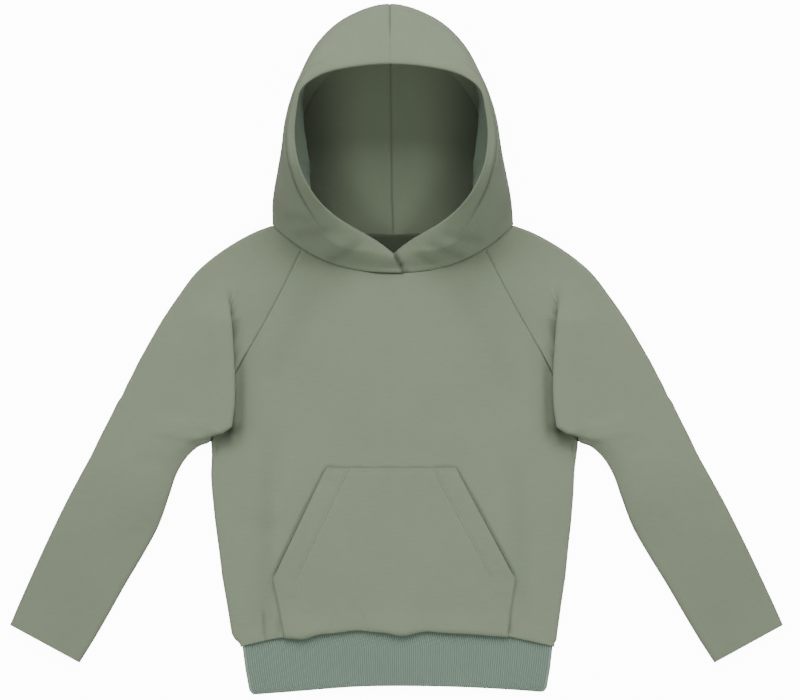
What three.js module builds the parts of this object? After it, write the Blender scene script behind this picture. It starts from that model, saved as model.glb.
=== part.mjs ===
import * as THREE from 'three';

// A toddler's raglan hoodie laid flat on its back, face up, with the hood propped open.
// Millimetres. X is across the garment, Y runs up to the hood, Z is up from the table.
// Pieces in pairs are worked out for x > 0 and mirrored for the other side.

const SAGE = 0x8a9281;
const SAGE_RIB = 0x7b8c7f;

// Cloth and seams
const CLOTH = 1.6;
const HALF_CLOTH = CLOTH / 2;
const SEAM_GAP = 0.3;
const RAGLAN_GAP = 0.45;
const ARMPIT_GAP = 0.7;
const NECK_GAP = 0.75;
const RIB_WALL = 2.2;

// Heights of the cloth's middle above the table
const BACK_Z = HALF_CLOTH;
const FRONT_Z = 5.2;
const SEAM_Z = 3.0;
const EDGE_ROUND = 4;
const EDGE_STEPS = [1, 0.6, 0.25, 0];
const FRONT_COLUMNS = 8;
const BACK_COLUMNS = 5;
const LAYER_STEP = 2.4;
const TURN_RADIUS = LAYER_STEP / 2;
const PLEAT_STEP = 3.2;
const PLEAT_RADIUS = PLEAT_STEP / 2;
const FOLD_RADIUS = (FRONT_Z - BACK_Z) / 2;
const RIB_TOP = FRONT_Z - 0.3;

// The whole garment leans a little to one side as it lies
const LEAN = -0.0113;
const LEAN_AT_ZERO = -2.9;

// Brings the middle of the laid-out garment over the origin
const CENTRE_Y = -0.5;

// Neckline, where the hood is sewn on
const NECK_HALF = 111.3;
const NECK_FRONT_Y = 70;
const NECK_RISE = 43.9;
const NECK_POWER = 2.4;
const NECK_BACK_Y = 105.1;
const NECK_BACK_RISE = 8.8;
const NECK_STRAIGHT = 0.97;

// How far the panels' rows still bow with the neckline, and over how many rows it fades
const FRONT_BOW = 22.2;
const BACK_BOW = 3;
const BOW_ROWS = 10;
const BOW_POWER = 1.5;

// Hem of the body and the rib band sewn to it
const HEM_HALF = 143.7;
const BAND_TOP_Y = -256.6;
const BAND_TOP_DROP = 17.5;
const BAND_TOP_POWER = 2.6;
const BODY_HEM_Y = -260.8;
const BODY_HEM_DROP = 14.5;
const BAND_FOOT_Y = -311.2;
const BAND_FOOT_DROP = 6.6;
const HEM_PUFF = 2.4;
const RIBS = 140;
const RIB_HEIGHT = 0.45;
const HEM_CLEAR = 0.8;
const HEM_CURL = 4.5;
const HEM_TURN = 1.8;
const HEM_LIFT = 1.8;
const FRONT_HEM_STEPS = [16, 9, HEM_CURL, HEM_TURN, 0.5, 0];
const BACK_HEM_STEPS = [12, HEM_CLEAR];
const HEM_END_ROWS = 3;
const RIB_INNER_STEPS = 12;
const RIB_FOLD_ANGLES = [60, 20, -20, -60];

// Where the hem's puff and tucks fade: above the hem, and before the side seams
const PUFF_REACH = 22;
const TUCK_LIFT = 0.35;
const TUCK_FROM = 4;
const TUCK_REACH = 30;
const SIDE_FADE = 14;
const SIDE_FADE_END = 2;

// Soft tucks along the hem: where the cloth sags over the band, or is drawn up
const HEM_TUCKS = [
  { x: -85, drop: 3.2, width: 11 },
  { x: -35, drop: -2.1, width: 14 },
  { x: 6.5, drop: 3.3, width: 11 },
  { x: 31, drop: -1.1, width: 9 },
  { x: 103, drop: -0.9, width: 11 },
];

// Long soft creases of the front: a trough (below 0) or a ridge along a line
const FRONT_CREASES = [
  { x0: -113, y0: -80, x1: -117, y1: -262, lift: -1.0, width: 10 },
  { x0: -100, y0: -90, x1: -103, y1: -250, lift: 0.8, width: 12 },
  { x0: 2, y0: -190, x1: 4, y1: -262, lift: -0.8, width: 12 },
  { x0: -6, y0: 40, x1: 0, y1: -90, lift: 0.6, width: 30 },
  { x0: 112, y0: -100, x1: 118, y1: -250, lift: -0.6, width: 10 },
  { x0: 60, y0: -210, x1: 96, y1: -256, lift: 0.6, width: 9 },
  { x0: -60, y0: -200, x1: -98, y1: -258, lift: 0.5, width: 8 },
];

// Side seam of the body below the armpit, as a half width at each height
const SIDE_SEAM = [
  { y: -85.2, half: 170.0 },
  { y: -106.5, half: 167.7 },
  { y: -132.4, half: 166.3 },
  { y: -158.2, half: 164.0 },
  { y: -184.1, half: 160.8 },
  { y: -210.0, half: 158.0 },
  { y: -235.9, half: 153.8 },
  { y: -261.7, half: 149.7 },
  { y: -267.5, half: 148.0 },
  { y: -273.5, half: 143.7 },
];
const SIDE_HEM_ROWS = 3;

// Rib band outline, as a half width at each height
const BAND_SIDE = [
  { at: 0, half: 142.3 },
  { at: 0.5, half: 139.6 },
  { at: 1, half: 135.6 },
];

// Sections of a sleeve from the neck to the cuff, each a row of these columns.
// seam: the raglan or underarm seam. out: the outer fold. back: the seam on the underside.
// fold: how far from the seam the armpit fold's edge lies. tuck: how deep it is turned in.
// turned: 0 where the cloth lies open, 1 where it is folded. swell: soft fullness.
const SLEEVE = [
  [[84.5, 92.4], [111.3, 113.9], [64.7, 108.1], 0, 0, 0, 0],
  [[89.6, 82.9], [129.4, 107.0], [70.2, 95.9], 0, 0, 0, 0],
  [[96.1, 70.0], [155.2, 92.2], [76.7, 81.1], 20, 0, 0, 0.3],
  [[104.0, 54.3], [182.0, 70.9], [85.0, 62.6], 40, 0, 0, 0.6],
  [[111.8, 39.5], [200.5, 46.9], [93.3, 45.0], 38.8, 4, 0.5, 0.8],
  [[119.7, 24.7], [214.4, 26.6], [102.6, 25.6], 29.6, 5.5, 1, 1],
  [[129.4, 7.2], [226.4, 6.2], [112.7, 5.3], 18.5, 7, 1, 1],
  [[138.6, -8.5], [233.3, -5.8], [122.9, -13.2], 8.5, 8, 1, 1],
  [[146.0, -22.4], [238.4, -15.0], [132.1, -28.9], 0.8, 8, 1, 1],
  [[152.5, -36.3], [243.0, -24.3], [140.4, -42.7], -5.7, 8.3, 1, 1],
  [[158.0, -51.1], [248.1, -34.0], [149.7, -56.6], -10.6, 13.2, 1, 1],
  [[163.0, -65.4], [252.6, -42.8], [158.3, -68.5], -14.2, 16.8, 1, 1],
  [[166.6, -75.6], [256.2, -49.4], [163.8, -76.3], -10.8, 13.4, 1, 1.2],
  [[170.0, -85.2], [260.6, -58.4], [170.0, -85.2], -1, 3.8, 0.5, 3],
  [[181.1, -89.9], [266.1, -69.5], [181.1, -89.9], 0, 0, 0, 4.8],
  [[192.2, -100.0], [272.6, -82.5], [192.2, -100.0], 0, 0, 0, 4.4],
  [[201.7, -115.7], [280.0, -98.2], [201.7, -115.7], 0, 0, 0, 3.6],
  [[208.8, -136.1], [290.1, -116.7], [208.8, -136.1], 0, 0, 0, 2.6],
  [[219.0, -163.8], [304.0, -142.5], [219.0, -163.8], 0, 0, 0, 1.8],
  [[233.8, -190.6], [316.0, -166.6], [233.8, -190.6], 0, 0, 0, 1.2],
  [[249.5, -216.4], [327.1, -189.7], [249.5, -216.4], 0, 0, 0, 0.6],
  [[264.3, -242.3], [337.3, -211.8], [264.3, -242.3], 0, 0, 0, 0.6],
  [[279.0, -267.3], [347.4, -234.0], [279.0, -267.3], 0, 0, 0, 0.5],
  [[293.4, -289.9], [356.7, -255.3], [293.4, -289.9], 0, 0, 0, 0.4],
].map(([seam, out, back, fold, tuck, turned, swell]) => ({ seam, out, back, fold, tuck, turned, swell }));
const ARMPIT = 13;
const CLOSE_SEAM_ROW = 11;
const FOLD_POINT = 4;
const FOLD_FLAT = 9;
const FOLD_LIFT = 0.3;
const OPEN_FROM = 13;
const OPEN_STEP = 2.6;
const UNDERARM_STEPS = [8, 14, 20, 26];
const SLEEVE_TOP_STEPS = 6;
const STEP_DOWN = 0.75;
const SWELL_FROM = 4;
const SWELL_FULL = 20;
const OUTER_FOLD_ANGLES = [90, 45, 0, -45, -90];
const QUARTERS = [0.25, 0.5, 0.75];

// Sections of one half of the hood from the front overlap round to the crown.
// Each is a row of these columns:
// rim: the opening's edge. band: the groove along the turned hem. side: the widest line.
// low: where the cloth comes down to the table or the neck. neck: place along the neckline,
// 0 at the front centre, 1 at the shoulder, 2 at the back centre.
// inward: how far the turned hem's inner edge stands into the opening. free: 1 where it does,
// 0 where it lies under the band.
const HOOD = [
  [[0, 87.3, 9], [-1.8, 83.4, 9.5], [-4.2, 80.2, 8.5], [-6.9, 76.5, 6.5], -0.087, 0, 0],
  [[14.8, 98.6, 15], [17.1, 89.4, 16], [19.4, 83.9, 13.5], [21.7, 77.4, 8.5], 0.22, 0, 0],
  [[39.7, 113.0, 34], [49.9, 95.4, 31], [54.5, 90.3, 23], [59.1, 85.2, 11.5], 0.57, 0, 0],
  [[52.7, 121.7, 48], [65.6, 109.7, 43], [70.2, 102.3, 29], [74.8, 93.6, 13], 0.72, 0, 0],
  [[62.8, 130.5, 61], [74.8, 126.4, 56], [83.2, 115.3, 38], [89.6, 104.2, 14], 0.84, 1, 0.3],
  [[71.6, 140.7, 72], [82.7, 140.7, 66], [93.3, 129.1, 45], [100.7, 115.3, 15], 0.92, 1, 0.7],
  [[78.5, 151.8, 81], [88.2, 153.2, 76], [101.0, 142.1, 48], [107.6, 128.0, 17], 0.97, 3, 1],
  [[83.6, 163.3, 87.5], [91.9, 164.7, 83], [103.4, 155.9, 50], [109.4, 134.7, 14], 1, 8, 1],
  [[86.9, 173.5, 91.5], [95.0, 175.3, 87.5], [102.8, 168.9, 52], [106.6, 146.7, 7], 1.03, 11, 1],
  [[89.6, 194.7, 95.5], [96.7, 198.4, 92], [98.2, 200.3, 58], [92.4, 181.8, 2], 1.22, 11.5, 1],
  [[88.4, 218.8, 97], [92.4, 223.4, 94], [93.4, 227.1, 64], [83.2, 213.2, 1], 1.45, 8, 1],
  [[84.1, 239.1, 98], [86.4, 244.2, 95], [84.9, 248.8, 66], [71.1, 239.1, 0.8], 1.63, 3, 1],
  [[67.0, 252.0, 99], [70.2, 261.3, 95.5], [67.3, 281.0, 62], [52.7, 259.4, 0.8], 1.78, 0, 0],
  [[37.0, 259.7, 100], [39.3, 270.0, 95.5], [40.4, 304.9, 57], [27.7, 276.0, 0.8], 1.89, 0, 0],
  [[0, 262.6, 100], [0, 273.3, 95.5], [0, 317.3, 55], [0, 283.4, 0.8], 2, 0, 0],
].map(([rim, band, side, low, neck, inward, free]) => ({ rim, band, side, low, neck, inward, free }));
const HOOD_STEPS = 2;
const HEM_DEPTH = 22;
const HEM_ALONG_BAND = 0.92;
const BAND_SWELL = 1.4;
const OPENING_Y = 165;
const NECK_BACK_FROM = 0.98;
const TABLE_SNAP = 0.4;
const THIRDS = [1 / 3, 2 / 3, 1];
const LOW_STEPS = [0.12, 0.3, 0.65, 1];
const HOOD_SPANS = [[1, THIRDS], [2, THIRDS], [3, LOW_STEPS]];
const OVERLAP_LIFT = 6;
const OVERLAP_SEW = 2.4;
const OVERLAP_REACH = 34;
const OVERLAP_HALF = 10;
const OVERLAP_TOP_Y = 130;
const OVERLAP_HEM_POINTS = 5;

// Kangaroo pocket: top edge, widest corners and foot, as half widths
const POCKET = [
  { y: -110.0, half: 60.5, shift: -2.9 },
  { y: -211.8, half: 112.2, shift: -1.1 },
  { y: -262.0, half: 103.3, shift: 0 },
];
const POCKET_GAP = 0.5;
const POCKET_FOOT = 3.5;
const POCKET_MOUTH = 1.2;
const POCKET_CORNER_X = 100.6;
const POCKET_COLUMNS = 9;
const POCKET_EASE = 1.25;
const POCKET_LEVELS = [-110, -118, -130, -143, -155, -170, -185, -199, -211.8, -224, -237, -250];
const MOUTH_TOP = [-120, -150];
const MOUTH_FOOT = [-200, -222];
const MOUTH_EDGE = 0.8;

const clamp01 = (t) => Math.min(1, Math.max(0, t));
const mix = (a, b, t) => a + (b - a) * t;
const smooth = (from, to, x) => {
  const t = clamp01((x - from) / (to - from));
  return t * t * (3 - 2 * t);
};
const bell = (x, width) => Math.exp(-(x * x) / (width * width));

// Value of a table's column at a place between its rows
function lookUp(rows, key, value, column) {
  const rising = rows[rows.length - 1][key] > rows[0][key];
  const inside = rows.findIndex((row) => (rising ? row[key] >= value : row[key] <= value));
  const i = Math.max(1, inside < 0 ? rows.length - 1 : inside);
  const [a, b] = [rows[i - 1], rows[i]];
  return mix(a[column], b[column], clamp01((value - a[key]) / (b[key] - a[key])));
}

const neckFrontY = (x) => NECK_FRONT_Y + NECK_RISE * Math.pow(Math.abs(x) / NECK_HALF, NECK_POWER);
const neckBackY = (x) => NECK_BACK_Y + NECK_BACK_RISE * (x / NECK_HALF) ** 2;
const neckEdgeY = (x, z) => mix(neckBackY(x), neckFrontY(x), clamp01((z - BACK_Z) / (FRONT_Z - BACK_Z)));
const bandTopY = (x) => BAND_TOP_Y - BAND_TOP_DROP * Math.pow(Math.abs(x) / HEM_HALF, BAND_TOP_POWER);
const bandFootY = (x) => BAND_FOOT_Y - BAND_FOOT_DROP * Math.min(1, (x / HEM_HALF) ** 2);
function bodyHemY(x) {
  const tucks = HEM_TUCKS.reduce((sum, tuck) => sum + tuck.drop * bell(x - tuck.x, tuck.width), 0);
  return BODY_HEM_Y - BODY_HEM_DROP * Math.abs(x / HEM_HALF) ** 3 - tucks;
}

// A point of the neckline: along the front, round the shoulder's fold, and back below
function neckPoint(place) {
  const centre = NECK_HALF - HALF_CLOTH - FOLD_RADIUS;
  const turn = 1 - NECK_STRAIGHT;
  if (place <= NECK_STRAIGHT) {
    const x = (centre * place) / NECK_STRAIGHT;
    return new THREE.Vector3(x, neckFrontY(x), FRONT_Z);
  }
  if (place < 1 + turn) {
    const angle = (Math.PI / 2) * ((1 - place) / turn);
    const x = centre + FOLD_RADIUS * Math.cos(angle);
    const z = SEAM_Z + FOLD_RADIUS * Math.sin(angle);
    return new THREE.Vector3(x, neckEdgeY(x, z), z);
  }
  const x = (centre * (2 - place)) / NECK_STRAIGHT;
  return new THREE.Vector3(x, neckBackY(x), BACK_Z);
}

// Closes a sheet of middle points into a wall of even thickness
function thicken(rows, squareOff = () => {}) {
  const count = rows[0].length;
  const quadNormal = (i, j) => {
    const across = rows[i + 1][j + 1].clone().sub(rows[i][j]);
    const down = rows[i + 1][j].clone().sub(rows[i][j + 1]);
    return down.cross(across);
  };
  const positions = [];
  const sides = [1, -1];
  for (const side of sides) {
    rows.forEach((row, i) => row.forEach((point, j) => {
      const normal = new THREE.Vector3();
      for (const a of [i - 1, i]) {
        for (const b of [j - 1, j]) {
          if (a >= 0 && b >= 0 && a < rows.length - 1 && b < count - 1) {
            normal.add(quadNormal(a, b).normalize());
          }
        }
      }
      squareOff(normal, i, j, rows);
      normal.normalize();
      positions.push(...point.clone().addScaledVector(normal, side * HALF_CLOTH).toArray());
    }));
  }
  const triangles = [];
  const quad = (a, b, c, d) => triangles.push(a, b, c, a, c, d);
  const outer = (i, j) => i * count + j;
  const inner = (i, j) => rows.length * count + i * count + j;
  for (let i = 0; i < rows.length - 1; i += 1) {
    for (let j = 0; j < count - 1; j += 1) {
      quad(outer(i, j), outer(i + 1, j), outer(i + 1, j + 1), outer(i, j + 1));
      quad(inner(i, j), inner(i, j + 1), inner(i + 1, j + 1), inner(i + 1, j));
    }
    quad(outer(i, 0), inner(i, 0), inner(i + 1, 0), outer(i + 1, 0));
    quad(outer(i + 1, count - 1), inner(i + 1, count - 1), inner(i, count - 1), outer(i, count - 1));
  }
  for (let j = 0; j < count - 1; j += 1) {
    const end = rows.length - 1;
    quad(outer(0, j + 1), inner(0, j + 1), inner(0, j), outer(0, j));
    quad(outer(end, j), inner(end, j), inner(end, j + 1), outer(end, j + 1));
  }
  return solid(positions, triangles);
}

// Leans the finished points with the garment and makes them a closed geometry
function solid(positions, triangles) {
  const placed = positions.slice();
  for (let i = 0; i < placed.length; i += 3) {
    placed[i] += LEAN_AT_ZERO + LEAN * placed[i + 1];
  }
  const geometry = new THREE.BufferGeometry();
  geometry.setAttribute('position', new THREE.Float32BufferAttribute(placed, 3));
  geometry.setIndex(triangles);
  geometry.computeVertexNormals();
  return geometry;
}

const mirrored = (rows) => rows.map((row) => row.map((p) => new THREE.Vector3(-p.x, p.y, p.z)));

// Height of the front panel's middle away from its edges
function frontHeight(x, y) {
  const creases = FRONT_CREASES.reduce((sum, crease) => {
    const length = Math.hypot(crease.x1 - crease.x0, crease.y1 - crease.y0);
    const dx = (crease.x1 - crease.x0) / length;
    const dy = (crease.y1 - crease.y0) / length;
    const along = ((x - crease.x0) * dx + (y - crease.y0) * dy) / length;
    const off = (x - crease.x0) * dy - (y - crease.y0) * dx;
    const ends = smooth(-0.1, 0.3, along) * (1 - smooth(0.85, 1.1, along));
    return sum + crease.lift * ends * bell(off, crease.width);
  }, 0);
  const reach = 1 - smooth(HEM_HALF - SIDE_FADE, HEM_HALF - SIDE_FADE_END, Math.abs(x));
  const puff = HEM_PUFF * reach * (1 - smooth(0, PUFF_REACH, y - bodyHemY(x)));
  const tucked = HEM_TUCKS.reduce((sum, tuck) => {
    const near = 1 - smooth(TUCK_FROM, TUCK_REACH, y - bodyHemY(x));
    return sum + TUCK_LIFT * tuck.drop * bell(x - tuck.x, tuck.width) * near;
  }, 0);
  return FRONT_Z + creases + puff + tucked * reach;
}

// Half-ellipse that carries a panel's edge to the seam
function edgeProfile(topZ, seamZ) {
  return EDGE_STEPS.map((t) => {
    const angle = (1 - t) * (Math.PI / 2);
    const inset = EDGE_ROUND * (1 - Math.sin(angle));
    return { inset, z: seamZ + (topZ - seamZ) * Math.cos(angle) };
  });
}

// Rows of heights for the panels: raglan rows down to the armpit, then the side seam
function panelRows(seam, bowed, hemOf, hemSteps, hemCurl) {
  const rows = [];
  for (let k = 0; k <= ARMPIT; k += 1) {
    const [x, y] = SLEEVE[k][seam];
    const half = x - (k < CLOSE_SEAM_ROW ? RAGLAN_GAP : ARMPIT_GAP);
    const bow = bowed * (1 - Math.min(1, k / BOW_ROWS)) ** BOW_POWER;
    const level = (across) => y - bow * (1 - Math.abs(across / half) ** NECK_POWER);
    rows.push({ half, y: level, curl: k === ARMPIT ? 1 : 0 });
  }
  const besideBody = SIDE_SEAM.slice(1, -SIDE_HEM_ROWS);
  for (const { y, half } of besideBody) rows.push({ half, y: () => y, curl: 1 });
  for (const offset of hemSteps) {
    const y = (x) => hemOf(x) + offset;
    const half = lookUp(SIDE_SEAM, 'y', y(HEM_HALF), 'half');
    rows.push({ half, y, curl: hemCurl(offset), hem: offset });
  }
  return rows;
}

function panel({ rows, columns, height, seamZ, edgeZ }) {
  return rows.map((row) => {
    const reach = row.half - row.curl * HALF_CLOTH;
    const points = [];
    for (let c = -columns; c <= columns; c += 1) {
      const x = (c / columns) * (reach - EDGE_ROUND);
      points.push(new THREE.Vector3(x, row.y(x), height(x, row.y(x), row)));
    }
    const edge = edgeProfile(1, 0).slice(1);
    for (const { inset, z } of edge) {
      for (const side of [-1, 1]) {
        const x = side * (reach - inset);
        const flat = height(x, row.y(x), row);
        const point = new THREE.Vector3(x, row.y(x), mix(flat, mix(seamZ, edgeZ, z), row.curl));
        if (side < 0) points.unshift(point);
        else points.push(point);
      }
    }
    return points;
  });
}

function frontRows() {
  const hemCurl = (offset) => smooth(HEM_TURN, HEM_CURL, offset);
  const rows = panelRows('seam', FRONT_BOW, bodyHemY, FRONT_HEM_STEPS, hemCurl);
  rows[0].y = (x) => neckFrontY(x) - SEAM_GAP;
  return panel({
    rows,
    columns: FRONT_COLUMNS,
    seamZ: SEAM_Z + SEAM_GAP / 2,
    edgeZ: FRONT_Z,
    height: (x, y, row) => {
      const top = frontHeight(x, y);
      if (row.hem === undefined || row.hem > HEM_CURL) return top;
      const foot = RIB_TOP + HEM_LIFT;
      return foot + (top - foot) * Math.sqrt(1 - (1 - row.hem / HEM_CURL) ** 2);
    },
  });
}

function backRows() {
  const rows = panelRows('back', BACK_BOW, bandTopY, BACK_HEM_STEPS, () => 1);
  rows[0].y = (x) => neckBackY(x) - SEAM_GAP;
  return panel({
    rows,
    columns: BACK_COLUMNS,
    seamZ: SEAM_Z - SEAM_GAP / 2,
    edgeZ: BACK_Z,
    height: () => BACK_Z,
  });
}

// One section of a sleeve: the front layer, the outer fold and the back layer
function sleeveSection(row, index) {
  const seam = new THREE.Vector2(...row.seam);
  const out = new THREE.Vector2(...row.out);
  const back = new THREE.Vector2(...row.back);
  const width = seam.distanceTo(out);
  const backWidth = back.distanceTo(out);
  const under = index > ARMPIT ? 1 : index === ARMPIT ? 0.5 : 0;
  const top = FRONT_Z + 2 * PLEAT_STEP;
  const turn = row.fold + row.tuck;
  const folded = [
    [0, FRONT_Z],
    [turn - PLEAT_RADIUS, FRONT_Z],
    [turn, FRONT_Z + PLEAT_RADIUS],
    [turn - PLEAT_RADIUS, FRONT_Z + PLEAT_STEP],
    [row.fold + PLEAT_RADIUS, FRONT_Z + PLEAT_STEP],
    [row.fold, top - PLEAT_RADIUS],
    [row.fold + PLEAT_RADIUS, top],
    [row.fold + FOLD_FLAT, top + FOLD_LIFT],
  ];
  const middle = Math.max(row.fold, OPEN_FROM);
  const open = folded.map((_, i) => [i === 0 ? 0 : middle + (i - FOLD_POINT) * OPEN_STEP, FRONT_Z]);
  const lip = edgeProfile(FRONT_Z, SEAM_Z + SEAM_GAP / 2).reverse();
  const rounded = [...lip.map(({ inset, z }) => [inset, z]), ...UNDERARM_STEPS.map((u) => [u, FRONT_Z])];
  const front = folded.map((place, i) => {
    const flat = [mix(open[i][0], rounded[i][0], under), mix(open[i][1], rounded[i][1], under)];
    return [mix(flat[0], place[0], row.turned), mix(flat[1], place[1], row.turned)];
  });
  const last = front[front.length - 1];
  const foldStart = width - HALF_CLOTH - FOLD_RADIUS;
  for (let i = 1; i < SLEEVE_TOP_STEPS; i += 1) {
    const t = i / SLEEVE_TOP_STEPS;
    const drop = smooth(0, STEP_DOWN, t);
    front.push([mix(last[0], foldStart, t), mix(last[1], FRONT_Z, drop)]);
  }
  for (const place of front) {
    const risen = Math.sin(Math.PI * clamp01(place[0] / width));
    place[1] += row.swell * risen * smooth(SWELL_FROM, SWELL_FULL, place[0]);
  }
  const outDir = out.clone().sub(seam).normalize();
  const backDir = out.clone().sub(back).normalize();
  const points = front.map(([u, z]) => onLine(seam, outDir, u, z));
  for (const angle of OUTER_FOLD_ANGLES) {
    const a = (angle * Math.PI) / 180;
    const dir = outDir.clone().lerp(backDir, (90 - angle) / 180).normalize();
    const reachOut = HALF_CLOTH + FOLD_RADIUS * (1 - Math.cos(a));
    points.push(onLine(out, dir, -reachOut, SEAM_Z + FOLD_RADIUS * Math.sin(a)));
  }
  const backStart = backWidth - HALF_CLOTH - FOLD_RADIUS;
  const foot = edgeProfile(BACK_Z, SEAM_Z - SEAM_GAP / 2);
  for (const t of QUARTERS) {
    points.push(onLine(back, backDir, mix(backStart, EDGE_ROUND, t), BACK_Z));
  }
  for (const { inset, z } of foot) {
    points.push(onLine(back, backDir, inset, mix(BACK_Z, z, under)));
  }
  return points;
}

const onLine = (start, dir, u, z) => new THREE.Vector3(start.x + dir.x * u, start.y + dir.y * u, z);

function sleeveRows() {
  const rows = SLEEVE.map(sleeveSection);
  for (const point of rows[0]) point.y = neckEdgeY(point.x, point.z) - SEAM_GAP;
  return rows;
}

// Hood: key lines between the sections of the table
function hoodSections() {
  const last = HOOD.length - 1;
  const beyond = HOOD[last - 1];
  const lines = ['rim', 'band', 'side', 'low'].map((key) => {
    const points = HOOD.map((row) => new THREE.Vector3(...row[key]));
    const [x, y, z] = beyond[key];
    return new THREE.CatmullRomCurve3([...points, new THREE.Vector3(-x, y, z)]);
  });
  const sections = [];
  for (let k = 0; k <= last * HOOD_STEPS; k += 1) {
    const at = k / HOOD_STEPS;
    const i = Math.min(last - 1, Math.floor(at));
    const t = at - i;
    const [rim, band, side, low] = lines.map((line) => line.getPoint(at / (last + 1)));
    const neck = mix(HOOD[i].neck, HOOD[i + 1].neck, t);
    const free = mix(HOOD[i].free, HOOD[i + 1].free, t);
    const inward = mix(HOOD[i].inward, HOOD[i + 1].inward, t);
    sections.push({ rim, band, side, low, neck, free, inward });
  }
  return sections;
}

// One section of a hood half: the turned hem, the band, the side and the foot at the neck
function hoodSection({ rim, band, side, low, neck, free, inward }) {
  const foot = neckPoint(neck);
  foot.y += NECK_GAP;
  const middle = new THREE.Vector3(0, OPENING_Y, rim.z);
  const inwards = middle.sub(rim).setZ(0).normalize();
  const below = rim.clone().lerp(band, HEM_ALONG_BAND);
  below.z -= LAYER_STEP;
  const stood = rim.clone().addScaledVector(inwards, inward);
  stood.z -= HEM_DEPTH;
  const hem = below.lerp(stood, free);
  const toBand = band.clone().sub(rim).normalize();
  const toHem = hem.clone().sub(rim).normalize();
  const tip = toBand.clone().add(toHem).normalize();
  const across = toBand.clone().sub(toHem).normalize();
  const centre = rim.clone().addScaledVector(tip, TURN_RADIUS);
  const outer = centre.clone().addScaledVector(across, TURN_RADIUS);
  const innerEdge = centre.clone().addScaledVector(across, -TURN_RADIUS);
  const keys = [outer, band, side, low, foot];
  const path = new THREE.CatmullRomCurve3(keys);
  const points = [hem, hem.clone().lerp(innerEdge, 0.5), innerEdge, rim.clone(), outer];
  const bandRise = outer.clone().lerp(band, 0.5);
  bandRise.z += BAND_SWELL;
  points.push(bandRise, band.clone());
  for (const [start, steps] of HOOD_SPANS) {
    for (const t of steps) points.push(path.getPoint((start + t) / (keys.length - 1)));
  }
  points[points.length - 1].copy(foot);
  for (const point of points) {
    point.z = Math.max(point.z, BACK_Z);
    if (neck > NECK_BACK_FROM && point.z < BACK_Z + TABLE_SNAP) point.z = BACK_Z;
  }
  return points;
}

// Rows of a hood half. over: this half's front laps over the other's
function hoodRows(over) {
  const rows = hoodSections().map(hoodSection);
  const end = rows.length - 1;
  rows[end].forEach((point) => { point.x = SEAM_GAP / 2; });
  rows.slice(0, end).forEach((row) => {
    row.forEach((point, j) => {
      if (!over || point.y > OVERLAP_TOP_Y) return;
      const lift = mix(OVERLAP_LIFT, OVERLAP_SEW, smooth(OVERLAP_HEM_POINTS, row.length - 1, j));
      const flatTo = mix(0, OVERLAP_HALF, j / row.length);
      point.z += lift * (1 - smooth(flatTo, OVERLAP_REACH, point.x));
    });
  });
  return rows;
}

function pocketRows() {
  const rows = POCKET_LEVELS.map((y) => ({ y: () => y }));
  rows.push({ y: (x) => bodyHemY(x) + POCKET_FOOT });
  return rows.map((row) => {
    const level = row.y(POCKET_CORNER_X);
    const half = lookUp(POCKET, 'y', level, 'half');
    const shift = lookUp(POCKET, 'y', level, 'shift');
    const points = [];
    for (let c = -POCKET_COLUMNS; c <= POCKET_COLUMNS; c += 1) {
      const t = c / POCKET_COLUMNS;
      const x = shift + half * Math.sign(t) * (1 - (1 - Math.abs(t)) ** POCKET_EASE);
      const y = row.y(x);
      const mouth = smooth(...MOUTH_TOP, y) * (1 - smooth(...MOUTH_FOOT, y));
      const lifted = POCKET_MOUTH * mouth * smooth(MOUTH_EDGE, 1, Math.abs(t));
      points.push(new THREE.Vector3(x, y, frontHeight(x, y) + CLOTH + POCKET_GAP + lifted));
    }
    return points;
  });
}

// One loop round the tube, its points placed 0 to 4 along top, side, underside and side
function ribLoop(half, at, wall, steps, ribbed) {
  const outerHalf = half - wall;
  const radius = RIB_TOP / 2 - wall;
  const straight = outerHalf - radius;
  const loop = [];
  const yAt = (x) => mix(bandTopY(x), bandFootY(x), at);
  const push = (x, z, place) => loop.push({ point: [x, yAt(x), z], place });
  for (let i = 0; i <= steps; i += 1) {
    const x = mix(-straight, straight, i / steps);
    const rib = ribbed ? RIB_HEIGHT * (i % 2 === 0 ? -0.5 : 0.5) : 0;
    push(x, RIB_TOP - wall + rib, i / steps);
  }
  for (const angle of RIB_FOLD_ANGLES) {
    const a = (angle * Math.PI) / 180;
    push(straight + radius * Math.cos(a), RIB_TOP / 2 + radius * Math.sin(a), 1 + (90 - angle) / 180);
  }
  for (let i = 0; i <= RIB_INNER_STEPS; i += 1) {
    push(mix(straight, -straight, i / RIB_INNER_STEPS), wall, 2 + i / RIB_INNER_STEPS);
  }
  for (const angle of [...RIB_FOLD_ANGLES].reverse()) {
    const a = (angle * Math.PI) / 180;
    push(-straight - radius * Math.cos(a), RIB_TOP / 2 + radius * Math.sin(a), 3 + (90 + angle) / 180);
  }
  return loop;
}

// Joins two closed loops of different counts by a strip of triangles
function strip(first, second, firstStart, secondStart, triangles) {
  let [i, j] = [0, 0];
  const [n, m] = [first.length, second.length];
  const placeOf = (loop, k) => loop[k % loop.length].place + (k >= loop.length ? 4 : 0);
  while (i < n || j < m) {
    const a = firstStart + (i % n);
    const b = secondStart + (j % m);
    const stepFirst = j >= m || (i < n && placeOf(first, i + 1) <= placeOf(second, j + 1));
    if (stepFirst) {
      triangles.push(a, b, firstStart + ((i + 1) % n));
      i += 1;
    } else {
      triangles.push(a, b, secondStart + ((j + 1) % m));
      j += 1;
    }
  }
}

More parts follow.
